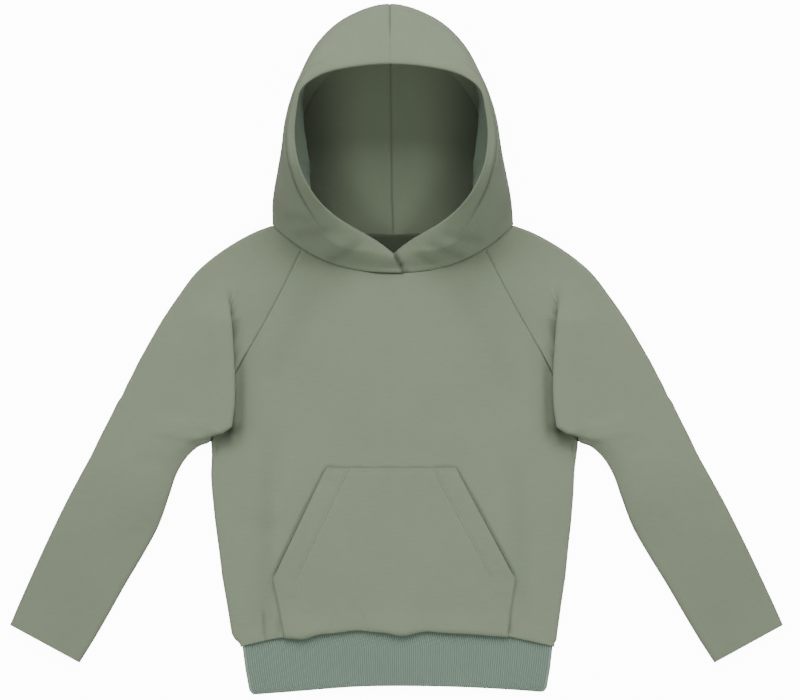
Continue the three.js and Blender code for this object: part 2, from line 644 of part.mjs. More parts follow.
// Rib band: a closed tube whose upper face is raised in ribs, plain inside
function ribBand() {
  const outer = BAND_SIDE.map(({ at, half }) => ribLoop(half, at, 0, RIBS * 2, true));
  const inner = BAND_SIDE.map(({ at, half }) => ribLoop(half, at, RIB_WALL, RIB_INNER_STEPS, false));
  const loops = [...outer, ...inner.reverse()];
  const positions = loops.flat().flatMap(({ point }) => point);
  const starts = [0];
  loops.forEach((loop) => starts.push(starts[starts.length - 1] + loop.length));
  const triangles = [];
  for (let k = 0; k < loops.length; k += 1) {
    const next = (k + 1) % loops.length;
    strip(loops[k], loops[next], starts[k], starts[next], triangles);
  }
  return solid(positions, triangles);
}

function cloth(name, geometry, colour) {
  const material = new THREE.MeshStandardMaterial({ color: colour, roughness: 0.95, metalness: 0 });
  const mesh = new THREE.Mesh(geometry, material);
  mesh.name = name;
  return mesh;
}

// Squares off the walls' ends where two pieces meet edge to edge
function sideSeams(normal, i, j, rows) {
  const beforeHem = i < rows.length - HEM_END_ROWS;
  if (i >= ARMPIT && beforeHem && (j === 0 || j === rows[i].length - 1)) normal.z = 0;
}

function underarmSeam(normal, i, j, rows) {
  if (i > ARMPIT && (j === 0 || j === rows[i].length - 1)) normal.z = 0;
}

function centreSeam(normal, i, j, rows) {
  if (i === rows.length - 1) normal.x = 0;
}

const hoodie = new THREE.Group();
hoodie.position.y = CENTRE_Y;
hoodie.add(cloth('front', thicken(frontRows(), sideSeams), SAGE));
hoodie.add(cloth('back', thicken(backRows(), sideSeams), SAGE));
hoodie.add(cloth('sleeve_right', thicken(sleeveRows(), underarmSeam), SAGE));
hoodie.add(cloth('sleeve_left', thicken(mirrored(sleeveRows()), underarmSeam), SAGE));
hoodie.add(cloth('hood_right', thicken(hoodRows(false), centreSeam), SAGE));
hoodie.add(cloth('hood_left', thicken(mirrored(hoodRows(true)), centreSeam), SAGE));
hoodie.add(cloth('pocket', thicken(pocketRows()), SAGE));
hoodie.add(cloth('hem_rib', ribBand(), SAGE_RIB));

export default hoodie;
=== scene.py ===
import math

import bpy
import numpy as np
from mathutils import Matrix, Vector


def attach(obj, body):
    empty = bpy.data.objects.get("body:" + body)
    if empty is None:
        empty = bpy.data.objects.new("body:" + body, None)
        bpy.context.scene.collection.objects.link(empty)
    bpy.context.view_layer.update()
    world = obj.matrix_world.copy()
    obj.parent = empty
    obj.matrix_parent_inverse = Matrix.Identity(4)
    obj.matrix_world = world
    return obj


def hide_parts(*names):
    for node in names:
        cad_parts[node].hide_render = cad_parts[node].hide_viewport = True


# A toddler's raglan hoodie laid flat on its back, with the hood propped open, seen from above.
# Shapes are worked out in millimetres in the garment's own frame and turned into metres last.
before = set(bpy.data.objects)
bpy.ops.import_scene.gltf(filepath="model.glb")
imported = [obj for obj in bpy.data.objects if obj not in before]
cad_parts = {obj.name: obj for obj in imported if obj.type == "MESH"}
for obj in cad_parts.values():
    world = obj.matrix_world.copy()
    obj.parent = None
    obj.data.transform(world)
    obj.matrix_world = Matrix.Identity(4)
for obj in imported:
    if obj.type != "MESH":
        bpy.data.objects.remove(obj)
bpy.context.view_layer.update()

MM = 0.001

# Cloth, seams and heights of the cloth's middle above the table
CLOTH = 1.6
HALF_CLOTH = CLOTH / 2
RAGLAN_GAP = 0.35
ARMPIT_GAP = 0.2
NECK_GAP = 0.35
NECK_LAP = 0.1
SEAM_THIN = 0.12
SEAM_GROOVE = 1.5
SEAM_LINES = (0.5, 1.0, 1.7)
RIB_WALL = 2.2
BACK_Z = HALF_CLOTH
FRONT_Z = 5.2
SEAM_Z = 3.0
EDGE_ROUND = 4
LAYER_STEP = 2.4
TURN_RADIUS = LAYER_STEP / 2
PLEAT_STEP = 3.2
PLEAT_RADIUS = PLEAT_STEP / 2
FOLD_RADIUS = (FRONT_Z - BACK_Z) / 2
RIB_TOP = FRONT_Z - 0.3

# How the whole garment lies: its lean, and its middle over the origin
LEAN = -0.0113
LEAN_AT_ZERO = -2.9
CENTRE_Y = -0.5

# Small uneven shifts of how it lies: shift to the right, and widening at WIDE_AT
WIDE_AT = 150
SETTLE_HOOD = (0.7, 0.4)
SETTLE_UPPER = (1.5, 0)
SETTLE_SLEEVES = (0.5, 0.6)
SETTLE_BODY = (-1.5, 1.5)
SETTLE_BAND = (1.2, 1.6)
# Where one of these gives way to the next: from and to, as x or y
BODY_EDGE_X = (172, 190)
BODY_EDGE_Y = (-120, -90)
BAND_EDGE_Y = (-276, -262)
UPPER_EDGE_Y = (-120, -20)
HOOD_EDGE_Y = (105, 140)
# The armpit folds: the left one lies further out, the right one leans more
SETTLE_FOLD = 1.8
FOLD_AWAY = 150
FOLD_REACH = 24
FOLD_TALL = 75
FOLD_LEAN = (-0.5, 1)
FOLD_LEAN_Y = (-70, 45)
# The hood draws in a little round one y
HOOD_NARROW = 2.8
HOOD_NARROW_Y = 247
HOOD_NARROW_REACH = 32

# Neckline
NECK_HALF = 111.3
NECK_FRONT_Y = 70
NECK_RISE = 43.9
NECK_POWER = 2.4
NECK_BACK_Y = 105.1
NECK_BACK_RISE = 8.8
NECK_STRAIGHT = 0.97
FRONT_BOW = 22.2
BACK_BOW = 3
BOW_ROWS = 10
BOW_POWER = 1.5

# Hem of the body and the rib band
HEM_HALF = 143.7
BAND_TOP_Y = -256.6
BAND_TOP_DROP = 17.5
BAND_TOP_POWER = 2.6
BODY_HEM_Y = -260.8
BODY_HEM_DROP = 14.5
BAND_FOOT_Y = -311.8
BAND_FOOT_DROP = 6.6
BAND_FOOT_LEFT = 2.4
BAND_FOOT_LEFT_X = (20, 110)
HEM_PUFF = 1.3
HEM_CURL = 4.5
HEM_TURN = 1.8
HEM_LIFT = 1.1
PUFF_REACH = 22
TUCK_LIFT = 0.35
TUCK_FROM = 4
TUCK_REACH = 30
SIDE_FADE = 14
SIDE_FADE_END = 2
RIBS = 140
RIB_HEIGHT = 0.8
RIB_POINTS = 6
BAND_CORNER = 5
BAND_CORNER_FROM = 0.88
FOLD_AT = 0.978

# Tucks along the hem: x, drop, width
HEM_TUCKS = [(-85, 3.2, 11), (-35, -2.1, 14), (6.5, 3.3, 11), (31, -1.1, 9), (103, -0.9, 11)]

# Soft creases: x and y of both ends, lift (a trough below 0), width. They come up and fade
# over these shares of their length.
CREASE_START = (-0.1, 0.3)
CREASE_END = (0.85, 1.1)
FRONT_CREASES = [
    (-113, -80, -117, -262, -1.0, 10), (-100, -90, -103, -250, 0.8, 12),
    (2, -190, 4, -262, -0.8, 12), (-6, 40, 0, -90, 0.6, 30),
    (112, -100, 118, -250, -0.6, 10), (60, -210, 96, -256, 0.6, 9),
    (-60, -200, -98, -258, 0.5, 8), (-54, -240, -57, -263, -0.8, 2.6),
    (-30, -243, -26, -262, -0.7, 2.4), (105, -238, 107, -264, -0.9, 3),
    (-120, -244, -120.5, -268, -0.8, 1.6), (-104, -248, -106, -264, -0.7, 2),
    (-141.5, 0, -143, -88, -2.4, 5.5), (142.5, 0, 143.5, -88, -2.4, 5.5),
    (-134, 24, -137, -84, -0.8, 12), (136, 24, 138, -84, -0.8, 12),
    (-148, -84, -168, -94, -2.0, 7), (149, -84, 169, -94, -2.0, 7),
    (-70, 60, -118, -30, -0.6, 12), (60, 52, 112, -40, -0.5, 12),
    (-30, -20, 60, -36, 0.4, 14), (-150, -150, -90, -170, -0.4, 10),
    (40, -90, 130, -70, 0.4, 12),
]

# The underside's creases only rise from the table
BACK_CREASES = [
    (-60, 40, -100, -80, 0.8, 10), (40, 20, 110, -60, 0.7, 9),
    (-90, -120, -20, -150, 0.8, 9), (30, -150, 100, -210, 0.9, 11),
    (-110, -190, -120, -255, 0.7, 8),
]

# The sleeves' creases, on the viewer's right and left, with x counted outwards
SLEEVE_CREASES = [
    [
        (178, 45, 195.5, -47, 0.9, 9), (195.5, -47, 226.5, -167.5, 0.8, 9),
        (176, -60, 214, -84, -0.8, 9), (196, -96, 236, -92, -0.6, 9),
        (236, -120, 262, -190, -0.5, 9), (268, -180, 300, -250, 0.5, 10),
        (150, 60, 190, -10, -0.5, 12), (222, -150, 250, -160, -0.5, 7),
    ],
    [
        (176, 49, 201, -55, 0.9, 9), (201, -55, 218.7, -151.8, 0.8, 10),
        (180, -66, 210, -96, -0.8, 8), (200, -104, 244, -104, -0.6, 8),
        (244, -130, 270, -200, -0.5, 9), (276, -196, 306, -262, 0.5, 10),
        (140, 66, 184, 4, -0.5, 12), (230, -170, 262, -176, -0.5, 7),
    ],
]
SLEEVE_BACK_CREASES = [
    (150, 50, 190, -40, 0.7, 9), (196, -90, 250, -80, 0.8, 8), (240, -150, 280, -220, 0.7, 9),
]

# Side seam of the body as y and half width, the last of its points above the hem's rows,
# and the band's side as place and half width
STRAIGHT_TO = 6
SIDE_SEAM = [
    (-85.2, 170.0), (-106.5, 167.7), (-132.4, 166.3), (-158.2, 164.0), (-184.1, 160.8),
    (-210.0, 158.0), (-235.9, 153.8), (-261.7, 149.7), (-267.5, 148.0), (-273.5, 143.7),
]
BAND_SIDE = [(0, 142.3), (0.5, 139.6), (1, 135.6)]

# Sleeve sections below the armpit, down to the cuff: seam, outer fold, fullness
LOWER_SLEEVE = [
    ((181.1, -89.9), (266.1, -69.5), 1.2),
    ((192.2, -100.0), (272.6, -82.5), 1.2),
    ((201.7, -115.7), (280.0, -98.2), 1.2),
    ((208.8, -136.1), (290.1, -116.7), 1.1),
    ((219.0, -163.8), (304.0, -142.5), 1.0),
    ((233.8, -190.6), (316.0, -166.6), 0.8),
    ((249.5, -216.4), (327.1, -189.7), 0.6),
    ((264.3, -242.3), (337.3, -211.8), 0.6),
    ((279.0, -267.3), (347.4, -234.0), 0.5),
    ((293.4, -289.9), (356.7, -255.3), 0.4),
]

# Sleeve sections from neck to armpit: seam x y, outer fold x y, back seam x y,
# armpit fold's place, its depth, how far it is turned, and the cloth's fullness
SLEEVE = np.array([
    (84.5, 92.4, 111.3, 113.9, 64.7, 108.1, 0, 0, 0, 0),
    (89.6, 82.9, 129.4, 107.0, 70.2, 95.9, 0, 0, 0, 0),
    (96.1, 70.0, 155.2, 92.2, 76.7, 81.1, 20, 0, 0, 0.3),
    (104.0, 54.3, 182.0, 70.9, 85.0, 62.6, 40, 0, 0, 0.6),
    (111.8, 39.5, 200.5, 46.9, 93.3, 45.0, 38.8, 2.6, 0.42, 0.8),
    (119.7, 24.7, 214.4, 26.6, 102.6, 25.6, 29.6, 5.5, 1, 1),
    (129.4, 7.2, 226.4, 6.2, 112.7, 5.3, 18.5, 7, 1, 1),
    (138.6, -8.5, 233.3, -5.8, 122.9, -13.2, 8.5, 8, 1, 1),
    (146.0, -22.4, 238.4, -15.0, 132.1, -28.9, 0.8, 8, 1, 1),
    (152.5, -36.3, 243.0, -24.3, 140.4, -42.7, -5.7, 8.3, 1, 1),
    (158.0, -51.1, 248.1, -34.0, 149.7, -56.6, -10.6, 13.2, 1, 1),
    (164.0, -68.0, 252.6, -44.0, 159.3, -70.5, -14.4, 17.0, 1, 1),
    (167.6, -75.0, 256.2, -49.2, 165.0, -75.8, -9.4, 12.0, 1, 1.2),
    (170.0, -85.2, 260.6, -58.4, 170.0, -85.2, -1, 3.8, 0.5, 1.2),
] + [(*seam, *outer, *seam, 0, 0, 0, full) for seam, outer, full in LOWER_SLEEVE])
ARMPIT = 13
# Below the armpit the cloth stays raised from the pleat for some sections
FOLLOW_LIFT = 4.6
FOLLOW_SECTIONS = 7
FOLLOW_EDGE = 13
FOLLOW_FADE = (0.2, 0.8)
# The section's points: past the pleat, flat above the armpit, rounded below it
PLEAT_TAIL = (9, 0.3)
FLAT_MIDDLE = 13
FLAT_STEP = 2.6
ROUNDED_AT = (8, 14, 20, 26)
TOP_DROP = 0.75
SWELL_FROM = (4, 20)

# Hood sections from the front overlap to the crown: rim, band, side and low as x y z,
# place along the neckline, how far the hem stands in, whether it stands free,
# and the share of the groove's depth outside the turned hem
HOOD = np.array([
    (0, 87.3, 9, -1.8, 83.4, 9.5, -4.2, 80.2, 8.5, -6.9, 76.5, 6.5, -0.087, 0, 0, 0),
    (14.8, 98.6, 15, 17.1, 89.4, 16, 19.4, 83.9, 13.5, 21.7, 77.4, 8.5, 0.22, 0, 0, 0),
    (39.7, 113.0, 34, 49.9, 95.4, 31, 54.5, 90.3, 23, 59.1, 85.2, 11.5, 0.57, 0, 0, 0),
    (52.7, 121.7, 48, 65.6, 109.7, 43, 70.2, 102.3, 29, 74.8, 93.6, 13, 0.72, 0, 0, 0.2),
    (62.8, 130.5, 61, 74.8, 126.4, 56, 83.2, 115.3, 38, 89.6, 104.2, 14, 0.84, 1, 0.3, 0.5),
    (71.6, 140.7, 72, 82.7, 140.7, 66, 93.3, 129.1, 45, 100.7, 115.3, 15, 0.92, 1, 0.7, 0.8),
    (78.5, 151.8, 81, 88.2, 153.2, 76, 101.0, 142.1, 48, 107.6, 128.0, 17, 0.97, 3, 1, 1),
    (83.6, 163.3, 87.5, 91.9, 164.7, 83, 103.4, 155.9, 50, 109.4, 134.7, 14, 1, 8, 1, 1),
    (86.9, 173.5, 91.5, 95.0, 175.3, 87.5, 102.8, 168.9, 52, 106.6, 146.7, 7, 1.03, 11, 1, 1),
    (89.6, 194.7, 95.5, 96.7, 198.4, 92, 98.2, 200.3, 58, 92.4, 181.8, 2, 1.22, 11.5, 1, 1),
    (88.4, 218.8, 97, 92.4, 223.4, 94, 93.4, 227.1, 64, 83.2, 213.2, 1, 1.45, 8, 1, 0.9),
    (84.1, 239.1, 98, 86.4, 244.2, 95, 84.9, 248.8, 66, 71.1, 239.1, 0.8, 1.63, 3, 1, 0.5),
    (67.0, 252.0, 99, 70.2, 261.3, 95.5, 67.3, 281.0, 62, 52.7, 259.4, 0.8, 1.78, 0, 0, 0.2),
    (37.0, 259.7, 100, 39.3, 270.0, 95.5, 40.4, 304.9, 57, 27.7, 276.0, 0.8, 1.89, 0, 0, 0),
    (0, 262.6, 100, 0, 273.3, 95.5, 0, 317.3, 55, 0, 283.4, 0.8, 2, 0, 0, 0),
])

GROOVE_DEPTH = 3.2
GROOVE_CREST = 0.72
GROOVE_SHOULDER = 0.14
GROOVE_POINT = 6

# Soft folds of the hood above the neck seam, on the viewer's right and left
HOOD_FOLDS = [
    [(30, 98, 66, 84, -1.6, 4), (44, 106, 84, 100, -1.2, 5), (20, 88, 40, 78, -1.2, 3.5)],
    [(30, 98, 62, 80, -1.8, 4), (50, 110, 92, 106, -1.2, 5), (70, 118, 100, 124, -1.0, 5)],
]
FOLD_BELOW = 60
HEM_DEPTH = 28
HEM_ALONG_BAND = 0.92
BAND_SWELL = 1.4
CREST_LOW = 0.3
OPENING_Y = 165
CENTRE_LAP = 0.05
NECK_BACK_FROM = 0.98
NECK_TURN = (0.95, 1.05)
NECK_CLEAR = 4
# Points on the hood's outside: after which section point, and shares of the way on
PATH_STEPS = 100
PATH_POINTS = ((1, (0.4, 0.7, 1)), (2, (1 / 3, 2 / 3, 1)), (3, (0.12, 0.3, 0.65, 1)))
TABLE_SNAP = 0.4
OVERLAP_LIFT = 6
OVERLAP_SEW = 2.4
OVERLAP_EASE = (0.3, 1)
OVERLAP_REACH = 34
OVERLAP_HALF = 10
OVERLAP_TOP_Y = 130
OVERLAP_SECTIONS = 6

# Pocket: y, half width, shift
POCKET = np.array([(-110.0, 60.2, -1.6), (-211.8, 111.4, 0.2), (-262.0, 102.6, 1.2)])
POCKET_GAP = 0.3
POCKET_MOUTH = 1.4
MOUTH_STITCH = 21.7
STITCH_APART = 2.4
STITCH_SINK = 0.45
STITCH_GROOVE = 1.0
MOUTH_FOLD = 0.7
TOP_STITCH = 3.2
POCKET_HEM_STEPS = [12, 9, 7, 5.4, 4.2, 3.2, 2.4, 1.7, 1.1, 0.6, 0.2, -0.2, -0.6, -0.9]
POCKET_WRAP = 1.6
# Puckers along the pocket's sewn top: x and height
PUCKERS = [(-58, 0.5), (-44, -0.4), (-33, 0.5), (-17, -0.3), (-5, 0.4), (9, -0.4), (21, 0.5),
           (34, -0.4), (47, 0.5), (57, -0.4)]
PUCKER_WIDTH = 4
PUCKER_REACH = 14
# Where its mouths begin and end, and its side below them, as y from and to
MOUTH_START_Y = (-120, -150)
MOUTH_END_Y = (-200, -222)
BELOW_MOUTH_Y = (-232, -222)
MOUTH_STITCH_FOOT_Y = -226
POCKET_HEM_Y = -246
POCKET_CORNER = 0.7 * HEM_HALF

# The stitches inside the hood: from which section, and which line of its grid
NECK_STITCH_SECTION = 10
NECK_STITCH_COLUMN = -4

# Thread: one stitch's length, the way from one to the next, its width and height
STITCH = (2.0, 2.9, 0.5, 0.3)

# Painted shade that gathers in folds: x and y of both ends, strength, width
FRONT_SHADES = [
    (-151, 8, -151, -80, 0.55, 4), (151, 8, 151, -80, 0.5, 4),
    (-152, -20, -152, -92, 0.2, 12), (153, -20, 153, -92, 0.18, 12),
    (-140, -70, -177, -91, 0.32, 4.5), (141, -70, 178, -91, 0.3, 4.5),
    (-140, -80, -182, -102, 0.18, 11), (141, -80, 183, -102, 0.16, 11),
    (-52.5, -244, -54.5, -264, 0.4, 1.7), (-28, -246, -26.5, -264, 0.15, 3),
    (104, -244, 105.5, -264, 0.25, 1.8), (-119.5, -238, -118.5, -272, 0.22, 1.4),
    (-106, -246, -108, -268, 0.12, 2.2),
]
SLEEVE_SHADES = [(151.6, 55, 147.3, -24, 0.6, 2.8), (148, 34, 145, -20, 0.15, 9)]
# The sleeve's painted shade fades out over these heights above the front, so the fold stays clear
UNDER_FOLD = (1.6, 3.0)
# Painted shade on the lower sleeves, darker towards the cuffs between these y
SLEEVE_LOW_SHADE = 0.1
SLEEVE_LOW_Y = (-190, -70)
# Painted shade beside the hood's lap and on its lapping edge, in crease troughs, in the hood's
# groove over this width, and between the ribs
LAP_SHADES = [(0, 93, 12, 69, 0.55, 1.6)]
LAP_EDGE_SHADE = 0.7
SHADE_OF_TROUGH = 0.12
GROOVE_SHADE = 0.3
GROOVE_WIDTH = 2.5
RIB_SHADE = 0.42
# Painted shade on the hood's inside, darker towards its sides, low down, and along its centre seam
INSIDE_SHADE = 0.42
INSIDE_SIDE_X = (18, 78)
INSIDE_LOW_SHADE = 0.36
INSIDE_LOW_Y = (120, 225)
CENTRE_SHADE = 0.3
CENTRE_WIDTH = 0.8
# Painted shade in the crown's seam, darker from one y to the other, and on the turned hem beside
# the face
CROWN_SEAM_SHADE = 0.45
CROWN_SEAM_Y = (280, 303)
CROWN_SEAM_WIDTH = 1.1
BAND_SHADE = 0.17
BAND_SHADE_Y = 216
BAND_SHADE_REACH = 26
BAND_SHADE_FADE = 4

# Painted shade at the pocket's edges: at the mouths' top and foot, how far in it fades,
# below the mouths and along the top, and where the mouths' gives way
MOUTH_SHADES = (0.5, 1.0)
EDGE_SHADE = (0.4, 1.7)
POCKET_SIDE_SHADE = 0.15
POCKET_TOP_SHADE = 0.2
BELOW_WIDEST = (-2, 8)

# How finely the shells are sampled
ROW_STEPS = 5
LINE_STEPS = 4
PANEL_COLUMNS = 96
EDGE_POINTS = 8
ROWS_TO_HEM = 5
SIDE_ROWS = 60
HOOD_STEPS = 8
POCKET_COLUMNS = 120
POCKET_ROWS = 84


def smooth(start, end, x):
    t = np.clip((x - start) / (end - start), 0, 1)
    return t * t * (3 - 2 * t)


def mix(a, b, t):
    return a + (b - a) * t


def bell(x, width):
    return np.exp(-(x * x) / (width * width))


def unit(way):
    return way / np.linalg.norm(way)


def between(at, columns):
    """Each column's value at places between its rows."""
    return [np.interp(at, range(len(values)), values) for values in columns]


def column(table, key, value):
    """A table's last columns at a value of its first, which may rise or fall."""
    rows = np.asarray(table, dtype=float)
    order = np.argsort(rows[:, 0])
    return np.interp(value, rows[order, 0], rows[order, key])


def curve(points, steps):
    """A centripetal Catmull-Rom line through points, with so many steps between each two."""
    points = np.asarray(points, dtype=float)
    before = 2 * points[0] - points[1]
    after = 2 * points[-1] - points[-2]
    line = np.vstack([before, points, after])
    spans = np.maximum(np.sqrt(np.linalg.norm(np.diff(line, axis=0), axis=1)), 1e-2)
    out = []
    t = (np.arange(steps) / steps)[:, None]
    for i in range(len(points) - 1):
        a, b, c, d = line[i:i + 4]
        da, db, dc = spans[i:i + 3]
        first = ((b - a) / da - (c - a) / (da + db) + (c - b) / db) * db
        last = ((c - b) / db - (d - b) / (db + dc) + (d - c) / dc) * db
        square = -3 * b + 3 * c - 2 * first - last
        cube = 2 * b - 2 * c + first + last
        out.append(b + first * t + square * t**2 + cube * t**3)
    return np.vstack(out + [points[-1:]])


def neck_front_y(x):
    return NECK_FRONT_Y + NECK_RISE * (np.abs(x) / NECK_HALF) ** NECK_POWER


def neck_back_y(x):
    return NECK_BACK_Y + NECK_BACK_RISE * (x / NECK_HALF) ** 2


def neck_edge_y(x, z):
    return mix(neck_back_y(x), neck_front_y(x), np.clip((z - BACK_Z) / (FRONT_Z - BACK_Z), 0, 1))


def band_top_y(x):
    return BAND_TOP_Y - BAND_TOP_DROP * (np.abs(x) / HEM_HALF) ** BAND_TOP_POWER


def band_foot_y(x):
    left = BAND_FOOT_LEFT * smooth(*BAND_FOOT_LEFT_X, -x)
    return BAND_FOOT_Y - BAND_FOOT_DROP * np.minimum(1, (x / HEM_HALF) ** 2) - left


def body_hem_y(x):
    sag = sum(drop * bell(x - at, width) for at, drop, width in HEM_TUCKS)
    return BODY_HEM_Y - BODY_HEM_DROP * np.abs(x / HEM_HALF) ** 3 - sag


def neck_point(place):
    """The neckline from the front centre, round the shoulder's fold, to the back centre."""
    centre = NECK_HALF - HALF_CLOTH - FOLD_RADIUS
    turn = 1 - NECK_STRAIGHT
    if place <= NECK_STRAIGHT:
        x = centre * place / NECK_STRAIGHT
        return np.array([x, neck_front_y(x), FRONT_Z])
    if place < 1 + turn:
        angle = math.pi / 2 * (1 - place) / turn
        x = centre + FOLD_RADIUS * math.cos(angle)
        z = SEAM_Z + FOLD_RADIUS * math.sin(angle)
        return np.array([x, neck_edge_y(x, z), z])
    x = centre * (2 - place) / NECK_STRAIGHT
    return np.array([x, neck_back_y(x), BACK_Z])


def creased(x, y, creases):
    """Height that a table of soft creases adds at x, y."""
    total = 0
    for x0, y0, x1, y1, lift, width in creases:
        length = math.hypot(x1 - x0, y1 - y0)
        dx = (x1 - x0) / length
        dy = (y1 - y0) / length
        along = ((x - x0) * dx + (y - y0) * dy) / length
        off = (x - x0) * dy - (y - y0) * dx
        ends = smooth(*CREASE_START, along) * (1 - smooth(*CREASE_END, along))
        total = total + lift * ends * bell(off, width)
    return total


def front_height(x, y):
    above = y - body_hem_y(x)
    reach = 1 - smooth(HEM_HALF - SIDE_FADE, HEM_HALF - SIDE_FADE_END, np.abs(x))
    puff = HEM_PUFF * reach * (1 - smooth(0, PUFF_REACH, above))
    near = 1 - smooth(TUCK_FROM, TUCK_REACH, above)
    tucks = sum(TUCK_LIFT * drop * bell(x - at, width) for at, drop, width in HEM_TUCKS)
    return FRONT_Z + creased(x, y, FRONT_CREASES) + puff + tucks * near * reach


def fine_sleeve():
    """The sleeve's table with smooth steps between its sections."""
    places = curve(SLEEVE[:, :6], ROW_STEPS)
    at = np.arange(len(places)) / ROW_STEPS
    return np.column_stack([places, *between(at, SLEEVE[:, 6:].T)])


FINE_SLEEVE = fine_sleeve()


def panel(seam, bow, hem_of, hem_steps, hem_curl, height, edge_z, top_of):
    """A body panel from the neck, along the raglan seams and the side seams, to its hem."""
    rows = []
    last_raglan = ARMPIT * ROW_STEPS
    for i in range(last_raglan + 1):
        k = i / ROW_STEPS
        x, y = FINE_SLEEVE[i, seam:seam + 2]
        gap = mix(RAGLAN_GAP, ARMPIT_GAP, smooth(ARMPIT - 3, ARMPIT - 2, k))
        half = x - (gap if seam == 0 else 0)
        dip = bow * (1 - min(1, k / BOW_ROWS)) ** BOW_POWER
        rows.append((half, y, dip, smooth(ARMPIT - 1, ARMPIT, k), None))
    for y in np.linspace(SIDE_SEAM[0][0], SIDE_SEAM[STRAIGHT_TO][0], SIDE_ROWS)[1:]:
        rows.append((column(SIDE_SEAM, 1, y), y, 0, 1, None))
    first = len(rows)
    for offset in hem_steps:
        half = column(SIDE_SEAM, 1, hem_of(HEM_HALF) + offset)
        rows.append((half, None, 0, hem_curl(offset), offset))
    out = []
    angles = np.linspace(0, math.pi / 2, EDGE_POINTS)[1:]
    inset, drop = EDGE_ROUND * (1 - np.sin(angles)), np.cos(angles)
    for i, (half, y, dip, curl, offset) in enumerate(rows):
        reach = half - HALF_CLOTH * curl
        middle = np.linspace(-1, 1, 2 * PANEL_COLUMNS + 1) * (reach - EDGE_ROUND)
        right = reach - inset
        x = np.concatenate([-right[::-1], middle, right])
        if i == 0:
            level = top_of(x)
        elif offset is None:
            level = y - dip * (1 - np.abs(x / half) ** NECK_POWER)
        else:
            level = hem_of(x) + offset
        z = height(x, level, offset)
        shares = np.concatenate([drop[::-1], np.ones(len(middle)), drop])
        z = mix(z, mix(SEAM_Z, edge_z, shares), curl * (shares < 1))
        out.append(np.column_stack([x, level, z]))
    to_hem = [mix(out[first - 1], out[first], t) for t in np.linspace(0, 1, ROWS_TO_HEM + 1)[1:-1]]
    return np.array(out[:first] + to_hem + out[first:])


# Rows of the back's and the front's hem, as heights above its edge
BACK_HEM_STEPS = [12, 6, 0.8]
HEM_STEPS = [16, 13, 10.5, 9, 7.2, 5.7, 4.5, 3.6, 2.8, 2.1, 1.5, 1.0, 0.5, 0.2, 0]


def hem_drop(top, above):
    """The body's hem rolls under to the band over its last few millimetres."""
    foot = RIB_TOP + HEM_LIFT
    share = np.clip(above / HEM_CURL, 0, 1)
    return foot + (top - foot) * np.sqrt(1 - (1 - share) ** 2)


def front_grid():
    def height(x, y, offset):
        top = front_height(x, y)
        return top if offset is None else hem_drop(top, offset)

    return panel(0, FRONT_BOW, body_hem_y, HEM_STEPS, lambda at: smooth(HEM_TURN, HEM_CURL, at),
                 height, FRONT_Z, neck_front_y)


def back_grid():
    def height(x, y, _):
        return BACK_Z + np.maximum(0, creased(x, y, BACK_CREASES))

    return panel(4, BACK_BOW, band_top_y, BACK_HEM_STEPS, lambda at: 1, height, BACK_Z, neck_back_y)


def edge_profile(top):
    """Inset and height of points that round a sleeve's edge off."""
    angles = [(1 - t) * math.pi / 2 for t in (1, 0.6, 0.25, 0)]
    return [(EDGE_ROUND * (1 - math.sin(a)), SEAM_Z + (top - SEAM_Z) * math.cos(a))
            for a in angles]


